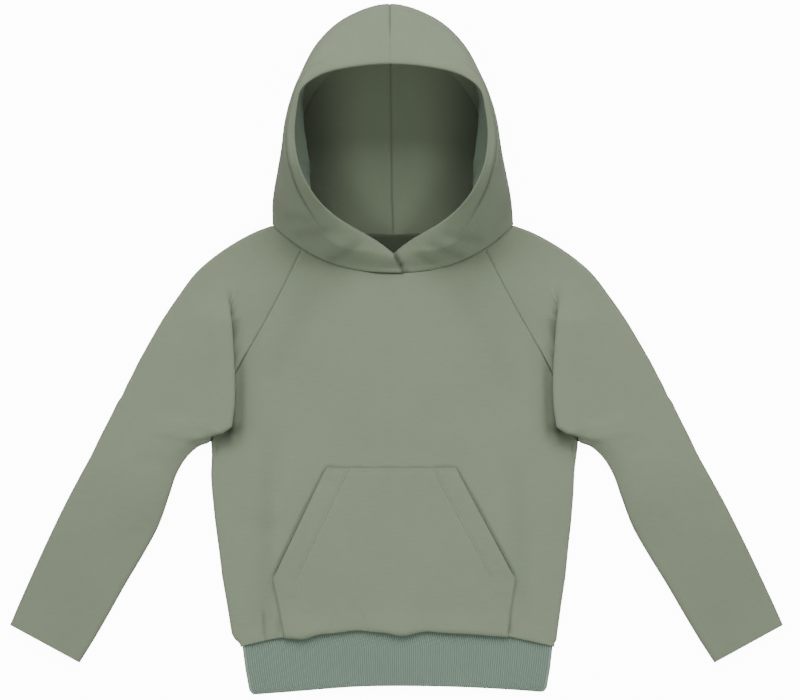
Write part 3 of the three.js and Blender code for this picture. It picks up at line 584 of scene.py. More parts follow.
def sleeve_section(row, k):
    seam, out, back = row[0:2], row[2:4], row[4:6]
    fold, tuck, turned, swell = row[6:10]
    width = np.linalg.norm(out - seam)
    back_width = np.linalg.norm(out - back)
    under = np.clip(k - ARMPIT + 0.5, 0, 1)
    top = FRONT_Z + 2 * PLEAT_STEP
    turn = fold + tuck
    folded = np.array([
        (0, FRONT_Z),
        (turn - PLEAT_RADIUS, FRONT_Z),
        (turn, FRONT_Z + PLEAT_RADIUS),
        (turn - PLEAT_RADIUS, FRONT_Z + PLEAT_STEP),
        (fold + PLEAT_RADIUS, FRONT_Z + PLEAT_STEP),
        (fold, top - PLEAT_RADIUS),
        (fold + PLEAT_RADIUS, top),
        (fold + PLEAT_TAIL[0], top + PLEAT_TAIL[1]),
    ])
    middle = max(fold, FLAT_MIDDLE)
    flat = np.array([(0 if i == 0 else middle + (i - 4) * FLAT_STEP, FRONT_Z) for i in range(8)])
    lip = edge_profile(FRONT_Z)[::-1]
    rounded = np.array(lip + [(u, FRONT_Z) for u in ROUNDED_AT])
    front = list(mix(mix(flat, rounded, under), folded, turned))
    last = front[-1]
    fold_start = width - HALF_CLOTH - FOLD_RADIUS
    for t in np.arange(1, 6) / 6:
        drop = smooth(0, TOP_DROP, t)
        front.append(np.array([mix(last[0], fold_start, t), mix(last[1], FRONT_Z, drop)]))
    front = np.array(front)
    bulge = np.sin(np.pi * np.clip(front[:, 0] / width, 0, 1)) * smooth(*SWELL_FROM, front[:, 0])
    front[:, 1] += swell * bulge
    follow = FOLLOW_LIFT * (1 - turned) * (k > ARMPIT - 1)
    follow *= 1 - smooth(ARMPIT - 0.5, ARMPIT + FOLLOW_SECTIONS, k)
    across = front[:, 0] / width
    follow *= smooth(0, FOLLOW_EDGE, front[:, 0])
    front[:, 1] += follow * (1 - smooth(*FOLLOW_FADE, across))
    out_dir = (out - seam) / width
    back_dir = (out - back) / back_width
    points = [np.array([*(seam + out_dir * u), z]) for u, z in front]
    for angle in (90, 45, 0, -45, -90):
        a = math.radians(angle)
        way = unit(mix(out_dir, back_dir, (90 - angle) / 180))
        reach = HALF_CLOTH + FOLD_RADIUS * (1 - math.cos(a))
        points.append(np.array([*(out - way * reach), SEAM_Z + FOLD_RADIUS * math.sin(a)]))
    back_start = back_width - HALF_CLOTH - FOLD_RADIUS
    for t in (0.25, 0.5, 0.75):
        points.append(np.array([*(back + back_dir * mix(back_start, EDGE_ROUND, t)), BACK_Z]))
    for inset, z in edge_profile(BACK_Z):
        points.append(np.array([*(back + back_dir * inset), mix(BACK_Z, z, under)]))
    return curve(points, LINE_STEPS)


def sleeve_grid(creases):
    rows = [sleeve_section(row, i / ROW_STEPS) for i, row in enumerate(FINE_SLEEVE)]
    grid = np.array(rows)
    grid[0, :, 1] = neck_edge_y(grid[0, :, 0], grid[0, :, 2])
    x, y, z = np.moveaxis(grid, 2, 0)
    grid[:, :, 2] += creased(x, y, creases) * smooth(SEAM_Z, FRONT_Z, z)
    grid[:, :, 2] += creased(x, y, SLEEVE_BACK_CREASES) * (1 - smooth(BACK_Z, SEAM_Z, z))
    grid[:, :, 2] = np.maximum(grid[:, :, 2], BACK_Z)
    return grid


def hood_section(rim, band, side, low, neck, inward, free, groove):
    foot = neck_point(neck)
    foot[1] += mix(NECK_GAP, -NECK_LAP, smooth(*NECK_TURN, neck))
    inwards = unit(np.array([0, OPENING_Y, rim[2]]) - rim)
    below = mix(rim, band, HEM_ALONG_BAND)
    below[2] -= LAYER_STEP + GROOVE_DEPTH * groove
    stood = rim + inwards * inward
    stood[2] -= HEM_DEPTH
    hem = mix(below, stood, free)
    to_band, to_hem = unit(band - rim), unit(hem - rim)
    tip, across = unit(to_band + to_hem), unit(to_band - to_hem)
    centre = rim + tip * TURN_RADIUS
    outer = centre + across * TURN_RADIUS
    inner_edge = centre - across * TURN_RADIUS
    crest = mix(outer, band, GROOVE_CREST)
    crest[2] += mix(CREST_LOW, BAND_SWELL, groove)
    sunk = band - np.array([0, 0, GROOVE_DEPTH * groove])
    path = curve([outer, band, side, low, foot], PATH_STEPS)
    shoulder = path[round(PATH_STEPS * (1 + GROOVE_SHOULDER))]
    points = [hem, mix(hem, inner_edge, 0.5), inner_edge, rim, outer, crest, sunk, shoulder]
    for start, steps in PATH_POINTS:
        points += [path[round(PATH_STEPS * (start + t))] for t in steps]
    points[-1] = foot
    line = curve(points, LINE_STEPS)
    line[:, 2] = np.maximum(line[:, 2], BACK_Z)
    if neck > NECK_BACK_FROM:
        line[line[:, 2] < BACK_Z + TABLE_SNAP, 2] = BACK_Z
    return line


def hood_grid(over):
    mirror = HOOD[-2].copy()
    mirror[[0, 3, 6, 9]] *= -1
    lines = [curve(np.vstack([HOOD[:, k:k + 3], mirror[k:k + 3]]), HOOD_STEPS)
             for k in (0, 3, 6, 9)]
    count = (len(HOOD) - 1) * HOOD_STEPS + 1
    at = np.arange(count) / HOOD_STEPS
    neck, inward, free, groove = between(at, HOOD[:, 12:].T)
    rows = [hood_section(*(line[i] for line in lines), neck[i], inward[i], free[i], groove[i])
            for i in range(count)]
    grid = np.array(rows)
    grid[-1, :, 0] = -CENTRE_LAP
    x, y, z = np.moveaxis(grid, 2, 0)
    near_neck = (1 - smooth(FOLD_BELOW / 2, FOLD_BELOW, z)) * smooth(0, NECK_CLEAR, z - FRONT_Z)
    grid[:, :, 2] += creased(x, y, HOOD_FOLDS[over]) * near_neck
    if over:
        share = np.arange(grid.shape[1]) / grid.shape[1]
        lift = mix(OVERLAP_LIFT, OVERLAP_SEW, smooth(*OVERLAP_EASE, share))
        flat_to = mix(0, OVERLAP_HALF, share)
        front = np.arange(count)[:, None] < OVERLAP_SECTIONS * HOOD_STEPS
        low = front & (grid[:, :, 1] <= OVERLAP_TOP_Y)
        grid[:, :, 2] += low * lift * (1 - smooth(flat_to, OVERLAP_REACH, grid[:, :, 0]))
    return grid


def pocket_half(y):
    """The pocket's half width, and its middle, at a height."""
    return column(POCKET, 1, y), column(POCKET, 2, y)


def pocket_height(x, y, half, shift):
    """The pocket's middle surface, with its folded mouths, stitch grooves and puckered top."""
    inset = half - np.abs(x - shift)
    beside = smooth(*BELOW_MOUTH_Y, y)
    mouth = smooth(*MOUTH_START_Y, y) * (1 - smooth(*MOUTH_END_Y, y))
    lifted = POCKET_MOUTH * mouth * (1 - smooth(0, MOUTH_STITCH, inset))
    fold = MOUTH_FOLD * (1 - smooth(MOUTH_STITCH - 1, MOUTH_STITCH + 2, inset)) * beside
    lines = [bell(inset - MOUTH_STITCH + side * STITCH_APART / 2, STITCH_GROOVE)
             for side in (1, -1)]
    sunk = STITCH_SINK * sum(lines) * beside
    from_top = POCKET[0, 0] - y
    sunk = sunk + STITCH_SINK * bell(from_top - TOP_STITCH, STITCH_GROOVE)
    puckers = sum(lift * bell(x - at, PUCKER_WIDTH) for at, lift in PUCKERS)
    puckers = puckers * (1 - smooth(0, PUCKER_REACH, from_top))
    return front_height(x, y) + CLOTH + POCKET_GAP + lifted + fold - sunk + puckers


def pocket_grid():
    t = np.linspace(-1, 1, 2 * POCKET_COLUMNS + 1)
    rows = []
    for y in np.linspace(POCKET[0, 0], POCKET_HEM_Y, POCKET_ROWS):
        half, shift = pocket_half(y)
        x = shift + half * t
        y = np.full_like(x, y)
        rows.append(np.column_stack([x, y, pocket_height(x, y, half, shift)]))
    for offset in POCKET_HEM_STEPS:
        half, shift = pocket_half(body_hem_y(POCKET_CORNER) + offset)
        x = shift + half * t
        y = body_hem_y(x) + offset
        top = pocket_height(x, y, half, shift)
        rows.append(np.column_stack([x, y, hem_drop(top, offset + POCKET_WRAP)]))
    return np.array(rows)


def pocket_painted_shade(grid):
    """Painted shade as a thin dark line at the pocket's edges, strongest at the foot of its mouths.
    """
    x, y, _ = np.moveaxis(grid, 2, 0)
    half, shift = pocket_half(y)
    inset = half - np.abs(x - shift)
    top, widest = POCKET[:2, 0]
    mouth = mix(*MOUTH_SHADES, np.clip((top - y) / (top - widest), 0, 1))
    edge = mix(mouth, POCKET_SIDE_SHADE, 1 - smooth(*BELOW_WIDEST, y - widest))
    line = edge * (1 - smooth(*EDGE_SHADE, inset))
    return np.maximum(line, POCKET_TOP_SHADE * (1 - smooth(*EDGE_SHADE, top - y))), 0


RIB_TURNS = np.arange(RIBS * RIB_POINTS + 1) / RIB_POINTS * math.pi * 2


def rib_loop(at, inset, relief):
    """One loop round the band's tube, so far inside its outer face, with ribs on top."""
    corner = np.clip((at - BAND_CORNER_FROM) / (1 - BAND_CORNER_FROM), 0, 1)
    half = column(BAND_SIDE, 1, at) - BAND_CORNER * (1 - math.sqrt(1 - corner**2)) - inset
    radius = RIB_TOP / 2 - inset
    straight = half - radius
    x = np.linspace(-straight, straight, len(RIB_TURNS))
    z = RIB_TOP - inset + relief * RIB_HEIGHT / 2 * (np.cos(RIB_TURNS) - 1)
    loop = [np.column_stack([x, z])]
    for sign in (1, -1):
        angles = np.radians([60, 20, -20, -60]) * sign
        loop.append(np.column_stack([sign * (straight + radius * np.cos(angles)),
                                     RIB_TOP / 2 + radius * np.sin(angles)]))
        if sign > 0:
            loop.append(np.column_stack([x[::-1], np.full_like(x, inset)]))
    flat = np.vstack(loop)
    y = mix(band_top_y(flat[:, 0]), band_foot_y(flat[:, 0]), at)
    return np.column_stack([flat[:, 0], y, flat[:, 1]])


def rib_grid():
    loops = [rib_loop(at, 0, 1) for at in np.linspace(0, FOLD_AT, 16)[:-1]]
    for angle in np.radians(np.linspace(0, 180, 9)):
        relief = max(0, math.cos(angle))
        at = FOLD_AT + (1 - FOLD_AT) * math.sin(angle)
        loops.append(rib_loop(at, RIB_WALL * (1 - math.cos(angle)) / 2, relief))
    loops += [rib_loop(at, RIB_WALL, 0) for at in (0.5, 0)]
    return np.array(loops)


def settled(x, y):
    """The symmetric pattern's x brought to how this garment lies, a little uneven."""
    side = np.clip(x / WIDE_AT, -1, 1)
    body = (1 - smooth(*BODY_EDGE_X, np.abs(x))) * (1 - smooth(*BODY_EDGE_Y, y))

    def move(settle):
        return settle[0] + settle[1] * side

    outer = mix(move(SETTLE_SLEEVES), move(SETTLE_UPPER), smooth(*UPPER_EDGE_Y, y))
    outer = mix(outer, move(SETTLE_HOOD), smooth(*HOOD_EDGE_Y, y))
    inner = mix(move(SETTLE_BODY), move(SETTLE_BAND), 1 - smooth(*BAND_EDGE_Y, y))
    narrow = HOOD_NARROW * side * bell(y - HOOD_NARROW_Y, HOOD_NARROW_REACH)
    lean = np.where(x > 0, mix(*FOLD_LEAN, smooth(*FOLD_LEAN_Y, y)), -1)
    fold = SETTLE_FOLD * lean * bell(np.abs(x) - FOLD_AWAY, FOLD_REACH) * bell(y, FOLD_TALL)
    return x + mix(outer, inner, body) - narrow + fold


def rib_painted_shade(grid):
    """Painted shade between the ribs of the band's upper face."""
    painted_shade = np.zeros(grid.shape[:2])
    painted_shade[:-2, :len(RIB_TURNS)] = RIB_SHADE * (1 - np.cos(RIB_TURNS)) / 2
    return painted_shade


def front_painted_shade(grid):
    """Painted shade of the front panel's outside: its folds and the troughs of its creases."""
    x, y, _ = np.moveaxis(grid, 2, 0)
    troughs = np.maximum(0, -creased(x, y, FRONT_CREASES))
    return creased(x, y, FRONT_SHADES) + SHADE_OF_TROUGH * troughs, 0


def sleeve_painted_shade(grid):
    """Painted shade of the sleeve cloth beside the armpit fold, which stays off the fold itself."""
    x, y, z = np.moveaxis(grid, 2, 0)
    low, high = UNDER_FOLD
    near = creased(x, y, SLEEVE_SHADES) * (1 - smooth(FRONT_Z + low, FRONT_Z + high, z))
    return near + SLEEVE_LOW_SHADE * (1 - smooth(*SLEEVE_LOW_Y, y)), 0


def hood_painted_shade(grid, over):
    """Painted shade of the hood's outside and inside: its groove, folds, lap, sides and seam."""
    x, y, z = np.moveaxis(grid, 2, 0)
    low = z < FOLD_BELOW
    outside = SHADE_OF_TROUGH * np.maximum(0, -creased(x, y, HOOD_FOLDS[over])) * low
    count = (len(HOOD) - 1) * HOOD_STEPS
    groove, = between(np.arange(count) / HOOD_STEPS, [HOOD[:, 15]])
    columns = np.arange(grid.shape[1]) - GROOVE_POINT * LINE_STEPS
    outside[:count] += GROOVE_SHADE * groove[:, None] * bell(columns, GROOVE_WIDTH)[None]
    beside_face = bell(y[:count] - BAND_SHADE_Y, BAND_SHADE_REACH)
    on_band = 1 - smooth(-BAND_SHADE_FADE, 0, columns)
    outside[:count] += BAND_SHADE * (beside_face * on_band)
    outside += CROWN_SEAM_SHADE * bell(x, CROWN_SEAM_WIDTH) * smooth(*CROWN_SEAM_Y, y)
    inside = INSIDE_SHADE * smooth(*INSIDE_SIDE_X, x)
    inside += (INSIDE_LOW_SHADE * (1 - smooth(*INSIDE_LOW_Y, y))
               + CENTRE_SHADE * bell(x, CENTRE_WIDTH))
    if over:
        outside[0] = inside[0] = LAP_EDGE_SHADE
    else:
        outside += creased(x, y, LAP_SHADES) * low
    return outside, inside


def placed(points):
    """Garment millimetres to the frame's metres, with the garment's lean."""
    out = np.array(points, dtype=float).reshape(-1, 3)
    out[:, 0] = settled(out[:, 0], out[:, 1]) + LEAN_AT_ZERO + LEAN * out[:, 1]
    out[:, 1] += CENTRE_Y
    return out * MM


def linked(name, data):
    made = bpy.data.objects.new(name, data)
    bpy.context.collection.objects.link(made)
    return made


def mesh_object(name, points, faces, uv, materials, look=0, painted_shade=0):
    mesh = bpy.data.meshes.new(name)
    mesh.from_pydata(placed(points).tolist(), [], faces.tolist())
    corners = np.zeros(len(mesh.loops), dtype=np.int32)
    mesh.loops.foreach_get("vertex_index", corners)
    layer = mesh.uv_layers.new(name="UVMap")
    layer.data.foreach_set("uv", (uv[corners] * MM).ravel().astype(np.float32))
    # Painted shade per point, which the cloth materials mix in towards a darker tone
    shades = mesh.attributes.new("painted_shade", "FLOAT", "POINT")
    painted_shade = np.broadcast_to(painted_shade, len(mesh.vertices)).astype(np.float32)
    shades.data.foreach_set("value", painted_shade)
    mesh.shade_smooth()
    mesh.set_sharp_from_angle(angle=math.radians(60))
    for material in materials:
        mesh.materials.append(material)
    looks = np.broadcast_to(look, len(mesh.polygons)).astype(np.int32)
    mesh.polygons.foreach_set("material_index", looks)
    return linked(name, mesh)


def lengths(grid):
    """Distances along the rows from the middle, and down the columns, as a cloth's own measure."""
    across = np.linalg.norm(np.diff(grid, axis=1), axis=2)
    u = np.concatenate([np.zeros((len(grid), 1)), np.cumsum(across, axis=1)], axis=1)
    u -= u[:, grid.shape[1] // 2][:, None]
    down = np.median(np.linalg.norm(np.diff(grid, axis=0), axis=2), axis=1)
    v = np.concatenate([[0], np.cumsum(down)])
    return np.stack([u, np.repeat(v[:, None], grid.shape[1], axis=1)], axis=2)


def grid_faces(rows, columns):
    """Faces of a closed wall: its outer grid, its inner grid and the rim between them."""
    def at(i, j, layer):
        return layer * rows * columns + i * columns + j

    i, j = (k.ravel() for k in np.meshgrid(range(rows - 1), range(columns - 1), indexing="ij"))
    outer = np.column_stack([at(i, j, 0), at(i + 1, j, 0), at(i + 1, j + 1, 0), at(i, j + 1, 0)])
    inner = np.column_stack([at(i, j, 1), at(i, j + 1, 1), at(i + 1, j + 1, 1), at(i + 1, j, 1)])
    i = np.arange(rows - 1)
    j = np.arange(columns - 1)
    end, last = rows - 1, columns - 1
    rims = [
        np.column_stack([at(i, 0, 0), at(i, 0, 1), at(i + 1, 0, 1), at(i + 1, 0, 0)]),
        np.column_stack([at(i + 1, last, 0), at(i + 1, last, 1), at(i, last, 1), at(i, last, 0)]),
        np.column_stack([at(0, j + 1, 0), at(0, j + 1, 1), at(0, j, 1), at(0, j, 0)]),
        np.column_stack([at(end, j, 0), at(end, j, 1), at(end, j + 1, 1), at(end, j + 1, 0)]),
    ]
    return np.vstack([outer, inner, *rims])


def refined(grid, edges):
    """Adds lines of points close to the sewn edges, for the grooves of the seams."""
    for edge in edges:
        lines = np.swapaxes(grid, 0, 1) if edge in ("left", "right") else grid
        lines = lines[::-1] if edge in ("right", "last") else lines
        span = np.linalg.norm(lines[1] - lines[0], axis=1)[:, None]
        extra = [mix(lines[0], lines[1], np.minimum(away / np.maximum(span, 1e-6), (k + 1) / 4))
                 for k, away in enumerate(SEAM_LINES)]
        lines = np.concatenate([lines[:1], np.array(extra), lines[1:]])
        lines = lines[::-1] if edge in ("right", "last") else lines
        grid = np.swapaxes(lines, 0, 1) if edge in ("left", "right") else lines
    return grid


def half_walls(grid, edges):
    """Half the cloth's thickness, which is drawn in beside the sewn edges."""
    across = np.linalg.norm(np.diff(grid, axis=1), axis=2)
    down = np.linalg.norm(np.diff(grid, axis=0), axis=2)
    left = np.pad(np.cumsum(across, axis=1), ((0, 0), (1, 0)))
    top = np.pad(np.cumsum(down, axis=0), ((1, 0), (0, 0)))
    away = {"left": left, "right": left[:, -1:] - left, "first": top, "last": top[-1:] - top}
    half = np.full(grid.shape[:2], HALF_CLOTH)
    for edge in edges:
        half = np.minimum(half, mix(SEAM_THIN, HALF_CLOTH, smooth(0, SEAM_GROOVE, away[edge])))
    return half[:, :, None]


def shell(name, grid, materials, sewn, square_off=None, hem_columns=0, flipped=False,
          painted_shade=(0, 0)):
    """A thin closed wall of cloth round a grid of middle points.

    The second material is the cloth's inner side, the third a turned hem's columns.
    flipped: the grid's normals point to the inside of the garment.
    painted_shade: the painted shade of the outside and of the inside.
    """
    normal = np.cross(np.gradient(grid, axis=0), np.gradient(grid, axis=1))
    if square_off:
        square_off(normal)
    normal /= np.maximum(np.linalg.norm(normal, axis=2, keepdims=True), 1e-9)
    rows, columns = grid.shape[:2]
    wall = normal * half_walls(grid, sewn)
    points = np.concatenate([grid + wall, grid - wall])
    uv = lengths(grid).reshape(-1, 2)
    faces = grid_faces(rows, columns)
    quads = (rows - 1) * (columns - 1)
    look = np.zeros(len(faces), dtype=int)
    sides = [look[:quads], look[quads:2 * quads]]
    if flipped:
        sides.reverse()
    sides[0][:] = 2 * np.tile(np.arange(columns - 1) < hem_columns, rows - 1)
    sides[1][:] = 1
    painted_shades = [np.broadcast_to(side, grid.shape[:2]) for side in painted_shade]
    if flipped:
        painted_shades.reverse()
    painted_shades = np.clip(np.array(painted_shades), 0, 1).ravel()
    return mesh_object(name, points.reshape(-1, 3), faces, np.vstack([uv, uv]), materials, look,
                       painted_shades)


def tube_shell(name, grid, material, painted_shade):
    """A closed ring of loops, such as the doubled rib band."""
    rows, columns = grid.shape[:2]
    i, j = (k.ravel() for k in np.meshgrid(range(rows), range(columns), indexing="ij"))
    down, right = (i + 1) % rows, (j + 1) % columns
    faces = np.column_stack([i * columns + j, down * columns + j,
                             down * columns + right, i * columns + right])
    uv = lengths(grid).reshape(-1, 2)
    return mesh_object(name, grid.reshape(-1, 3), faces, uv, [material], painted_shade=painted_shade.ravel())


def mirrored(grid):
    return grid * np.array([-1, 1, 1])


def stitches(name, lines, material):
    """Short raised stitches of thread, each a long octahedron, along lines on the cloth."""
    length, pitch, width, height = STITCH
    up = np.array([0, 0, 1])
    points = []
    for line in lines:
        run = np.concatenate([[0], np.cumsum(np.linalg.norm(np.diff(line, axis=0), axis=1))])
        for start in np.arange(pitch / 2, run[-1] - length, pitch):
            ends = [np.array([np.interp(at, run, line[:, k]) for k in range(3)])
                    for at in (start, start + length)]
            way = unit(ends[1] - ends[0])
            side = np.cross(way, up)
            side *= width / 2 / np.linalg.norm(side)
            lift = np.cross(side, way)
            lift *= height / 2 / np.linalg.norm(lift)
            middle = (ends[0] + ends[1]) / 2
            points += [ends[0], ends[1], middle + side, middle + lift, middle - side, middle - lift]
    ring = [(2, 3), (3, 4), (4, 5), (5, 2)]
    one = np.array([(0, b, a) for a, b in ring] + [(1, a, b) for a, b in ring])
    starts = np.arange(0, len(points), 6)
    faces = (starts[:, None, None] + one[None]).reshape(-1, 3)
    return mesh_object(name, np.array(points), faces, np.array(points)[:, :2], [material])


def pocket_lines():
    """The pocket's double lines beside its mouths, and the line along its top."""
    lines = []
    for side in (-1, 1):
        for beside in (-1, 1):
            y = np.linspace(POCKET[0, 0] - 1, MOUTH_STITCH_FOOT_Y, 60)
            half, shift = pocket_half(y)
            inset = MOUTH_STITCH + beside * STITCH_APART / 2
            x = shift + side * (half - inset)
            z = pocket_height(x, y, half, shift) + HALF_CLOTH
            lines.append(np.column_stack([x, y, z]))
    half, shift = pocket_half(POCKET[0, 0] - TOP_STITCH)
    x = shift + np.linspace(2 - half, half - 2, 80)
    y = np.full_like(x, POCKET[0, 0] - TOP_STITCH)
    lines.append(np.column_stack([x, y, pocket_height(x, y, half, shift) + HALF_CLOTH]))
    return lines


def neck_lines():
    """The line of stitches inside the hood, above the seam of the back neck."""
    grid = refined(hood_grid(False), HOOD_SEWN)
    line = grid[NECK_STITCH_SECTION * HOOD_STEPS:, NECK_STITCH_COLUMN].copy()
    line[:, 2] += HALF_CLOTH
    return [line, mirrored(line)]


def node(tree, kind, **values):
    made = tree.nodes.new(kind)
    for key, value in values.items():
        setattr(made, key, value)
    return made


def set_values(made, values):
    for key, value in values.items():
        made.inputs[key].default_value = value


def shade(colour, factor):
    return tuple(c * factor for c in colour)


# The noise that spans the colours, and how dark the painted shade gets in the deepest folds
NOISE_RANGE = (0.3, 0.7)
PAINTED_SHADE_DARKEST = 0.2


def cloth_material(name, base, tones, roughness, weights):
    """Matt knit: long faint streaks along the courses, soft blotches, a fine raised grain and
    painted shade.
    """
    dark, light = (shade(base, tone) for tone in tones)
    streak, blotch, grain = weights
    material = bpy.data.materials.new(name)
    material.use_nodes = True
    tree = material.node_tree
    link = tree.links.new
    shader = tree.nodes["Principled BSDF"]
    set_values(shader, {"Roughness": roughness, "Specular IOR Level": 0.15,
                        "Sheen Weight": 0.12, "Sheen Roughness": 0.6})
    place = node(tree, "ShaderNodeTexCoord")

    def noise(scale, stretch, detail):
        spot = node(tree, "ShaderNodeMapping")
        spot.inputs["Scale"].default_value = stretch
        link(place.outputs["UV"], spot.inputs["Vector"])
        made = node(tree, "ShaderNodeTexNoise")
        set_values(made, {"Scale": scale, "Detail": detail})
        link(spot.outputs["Vector"], made.inputs["Vector"])
        return made.outputs["Fac"]

    streaks = noise(90, (1, 9, 1), 4)
    blotches = noise(14, (1, 1, 1), 3)
    grains = noise(1400, (1, 1, 1), 2)

    def weigh(value, weight, total):
        times = node(tree, "ShaderNodeMath", operation="MULTIPLY_ADD")
        times.inputs[1].default_value = weight
        link(value, times.inputs[0])
        link(total, times.inputs[2])
        return times.outputs[0]

    start = node(tree, "ShaderNodeMath", operation="MULTIPLY")
    start.inputs[1].default_value = streak
    link(streaks, start.inputs[0])
    total = weigh(blotches, blotch, start.outputs[0])
    total = weigh(grains, grain, total)
    spread_range = node(tree, "ShaderNodeMapRange")
    low, high = (share * sum(weights) for share in NOISE_RANGE)
    set_values(spread_range, {"From Min": low, "From Max": high})
    link(total, spread_range.inputs["Value"])
    colour = node(tree, "ShaderNodeMix", data_type="RGBA")
    set_values(colour, {"A": (*dark, 1), "B": (*light, 1)})
    link(spread_range.outputs["Result"], colour.inputs["Factor"])
    # Painted shade: the mesh's per-point share mixes the colour towards a darker tone
    painted_shade = node(tree, "ShaderNodeAttribute", attribute_name="painted_shade")
    painted_shade_mix = node(tree, "ShaderNodeMix", data_type="RGBA")
    painted_shade_mix.inputs["B"].default_value = (*shade(dark, PAINTED_SHADE_DARKEST), 1)
    link(painted_shade.outputs["Fac"], painted_shade_mix.inputs["Factor"])
    link(colour.outputs["Result"], painted_shade_mix.inputs["A"])
    link(painted_shade_mix.outputs["Result"], shader.inputs["Base Color"])
    fine = noise(1100, (1, 1.6, 1), 3)
    bump = node(tree, "ShaderNodeBump")
    set_values(bump, {"Strength": 0.35, "Distance": 0.0003})
    link(fine, bump.inputs["Height"])
    link(bump.outputs["Normal"], shader.inputs["Normal"])
    return material


# Base colours, and the insides as shares of the jersey's. The jersey's inside is lighter, painted
# light;
# the body's inside and the hood hem's facing are darker, painted shade
SAGE = (0.193, 0.233, 0.158)
SAGE_RIB = (0.212, 0.297, 0.234)
INSIDE_PAINTED_LIGHT = 1.18
TURNED_HEM_PAINTED_SHADE = (0.052, 0.09, 0.048)
BODY_INSIDE_PAINTED_SHADE = 0.3
# Each cloth's darkest and lightest tone as shares, and its streaks, blotches and grain
OUTER_TONES = (0.92, 1.08)
INNER_TONES = (0.94, 1.06)
INNER_NOISE = (0.6, 0.8, 0.9)
jersey = cloth_material("jersey", SAGE, OUTER_TONES, 0.95, (1, 0.8, 0.5))
# A lighter copy of the jersey, painted light for the hood's inside
inside = cloth_material("jersey inside painted light", shade(SAGE, INSIDE_PAINTED_LIGHT), INNER_TONES, 1, INNER_NOISE)
# Dark facing of the hood's turned hem, painted shade
turned_hem_painted_shade = cloth_material("hood hem facing painted shade", TURNED_HEM_PAINTED_SHADE, INNER_TONES, 1, INNER_NOISE)
# Dark inside of the body seen through the neck, painted shade
body_inside_painted_shade = cloth_material("body inside painted shade", shade(SAGE, BODY_INSIDE_PAINTED_SHADE), INNER_TONES, 1, INNER_NOISE)
thread = cloth_material("thread", SAGE, (1.1, 1.2), 0.8, (0.2, 0.2, 0.2))
rib = cloth_material("rib", SAGE_RIB, OUTER_TONES, 0.95, (0.4, 0.6, 0.8))


# The photo's width and height, the garment's middle in it, and one pixel in metres
PHOTO = (800, 700)
PHOTO_MIDDLE = (396, 348.75)
PIXEL = 0.924 * MM


def make_camera():
    """Straight down from far above, so that heights barely shift in the picture."""
    lens, sensor = 1000.0, 36.0
    data = bpy.data.cameras.new("camera")
    data.lens = lens
    data.sensor_width = sensor
    distance = PHOTO[0] * PIXEL * lens / sensor
    data.clip_end = 3 * distance
    camera = linked("camera", data)
    camera.location = ((PHOTO[0] / 2 - PHOTO_MIDDLE[0]) * PIXEL,
                       (PHOTO_MIDDLE[1] - PHOTO[1] / 2) * PIXEL + CENTRE_Y * MM,
                       distance + FRONT_Z * MM)
    bpy.context.scene.camera = camera


# A white floor just under the garment, bright to the camera alone
FLOOR_BELOW = 0.0005
FLOOR_GLOW = 12.0


def make_floor():
    size = 20.0
    mesh = bpy.data.meshes.new("floor")
    corners = [(-size, -size, 0), (size, -size, 0), (size, size, 0), (-size, size, 0)]
    mesh.from_pydata(corners, [], [(0, 1, 2, 3)])
    floor = linked("floor", mesh)
    floor.location.z = -FLOOR_BELOW
    material = bpy.data.materials.new("floor")
    material.use_nodes = True
    shader = material.node_tree.nodes["Principled BSDF"]
    set_values(shader, {"Base Color": (0.9, 0.9, 0.9, 1), "Roughness": 1,
                        "Specular IOR Level": 0, "Emission Color": (1, 1, 1, 1),
                        "Emission Strength": FLOOR_GLOW})
    floor.visible_diffuse = False
    floor.visible_glossy = False
    mesh.materials.append(material)


# The world's light, and the lamps: place in metres, size and power
WORLD_LIGHT = 0.3
LIGHTS = [
    ("key", (0, 2.9, 2.3), 2.0, 131),
    ("left", (-2.6, 1.5, 1.9), 1.2, 36),
    ("right", (2.6, 1.5, 1.9), 1.2, 36),
    ("fill", (0, -2.7, 2.0), 1.6, 46),
]


def make_light():
    world = bpy.data.worlds.new("world")
    world.use_nodes = True
    background = world.node_tree.nodes["Background"]
    set_values(background, {"Color": (1, 1, 1, 1), "Strength": WORLD_LIGHT})
    bpy.context.scene.world = world
    for name, place, size, watts in LIGHTS:
        data = bpy.data.lights.new(name, "AREA")
        data.size = size
        data.energy = watts
        light = linked(name, data)
        light.location = place
        light.rotation_euler = (-Vector(place)).to_track_quat("-Z", "Y").to_euler()
        light.visible_camera = False


def straight_sides(from_row):
    """Squares a wall's side rims off in height, where a seam joins two pieces."""
    def square_off(normal):
        normal[from_row:, [0, -1], 2] = 0
    return square_off


def straight_end(normal):
    """Squares a wall's last rim off across the garment, at the centre seam."""
    normal[-1, :, 0] = 0


make_camera()
make_floor()
make_light()

RAGLAN_ROWS = ARMPIT * ROW_STEPS + len(SEAM_LINES)
PANEL_SEWN = ("first", "left", "right")
SLEEVE_SEWN = ("first", "left")
HOOD_SEWN = ("last", "right")
TURNED_HEM_COLUMNS = 2 * LINE_STEPS + 2
front_points = refined(front_grid(), ["first"])
front = shell("front_panel", front_points, [jersey, body_inside_painted_shade], PANEL_SEWN,
              straight_sides(RAGLAN_ROWS), painted_shade=front_painted_shade(front_points))
back = shell("back_panel", refined(back_grid(), ["first"]), [body_inside_painted_shade, jersey], PANEL_SEWN,
             straight_sides(RAGLAN_ROWS))


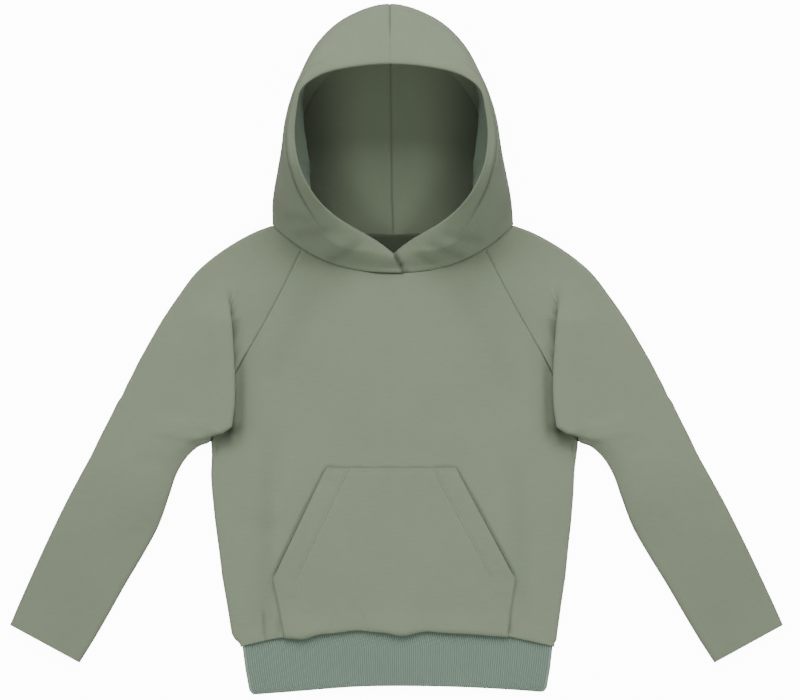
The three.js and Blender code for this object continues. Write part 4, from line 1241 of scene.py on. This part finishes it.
def make_sleeve(name, creases, left):
    grid = refined(sleeve_grid(creases), SLEEVE_SEWN)
    return shell(name, mirrored(grid) if left else grid, [jersey, inside], SLEEVE_SEWN,
                 straight_sides(RAGLAN_ROWS + 1), flipped=left, painted_shade=sleeve_painted_shade(grid))


def make_hood(name, left):
    grid = refined(hood_grid(left), HOOD_SEWN)
    return shell(name, mirrored(grid) if left else grid, [jersey, inside, turned_hem_painted_shade], HOOD_SEWN,
                 straight_end, TURNED_HEM_COLUMNS, not left, hood_painted_shade(grid, left))


sleeve_right = make_sleeve("sleeve_right_cloth", SLEEVE_CREASES[0], False)
sleeve_left = make_sleeve("sleeve_left_cloth", SLEEVE_CREASES[1], True)
hood_right = make_hood("hood_right_cloth", False)
hood_left = make_hood("hood_left_cloth", True)
pocket_points = pocket_grid()
pocket = shell("pocket_cloth", pocket_points, [jersey, inside], PANEL_SEWN,
               painted_shade=pocket_painted_shade(pocket_points))
rib_points = rib_grid()
hem_rib = tube_shell("hem_rib_cloth", rib_points, rib, rib_painted_shade(rib_points))
pocket_thread = stitches("pocket_thread", pocket_lines(), thread)
neck_thread = stitches("neck_thread", neck_lines(), thread)
for piece in (pocket_thread, neck_thread):
    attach(piece, "root")

# piece, node, slot, cut size in metres, flat area, what it lies on
CLOTHS = [
    (front, "front", "jersey", (0.340, 0.365), 0.101, ["back_panel"]),
    (back, "back", "jersey", (0.340, 0.381), 0.0996, ["floor"]),
    (sleeve_left, "sleeve_left", "jersey", (0.235, 0.448), 0.0747, ["floor"]),
    (sleeve_right, "sleeve_right", "jersey", (0.235, 0.448), 0.0747, ["floor"]),
    (hood_left, "hood_left", "jersey", (0.270, 0.330), 0.0493, ["front_panel"]),
    (hood_right, "hood_right", "jersey", (0.270, 0.330), 0.0493, ["front_panel"]),
    (pocket, "pocket", "jersey", (0.224, 0.153), 0.0270, ["front_panel"]),
    (hem_rib, "hem_rib", "rib", (0.560, 0.052), 0.0290, ["floor"]),
]
for piece, stands_for, slot, flat, area, rests_on in CLOTHS:
    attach(piece, "root")
    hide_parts(stands_for)
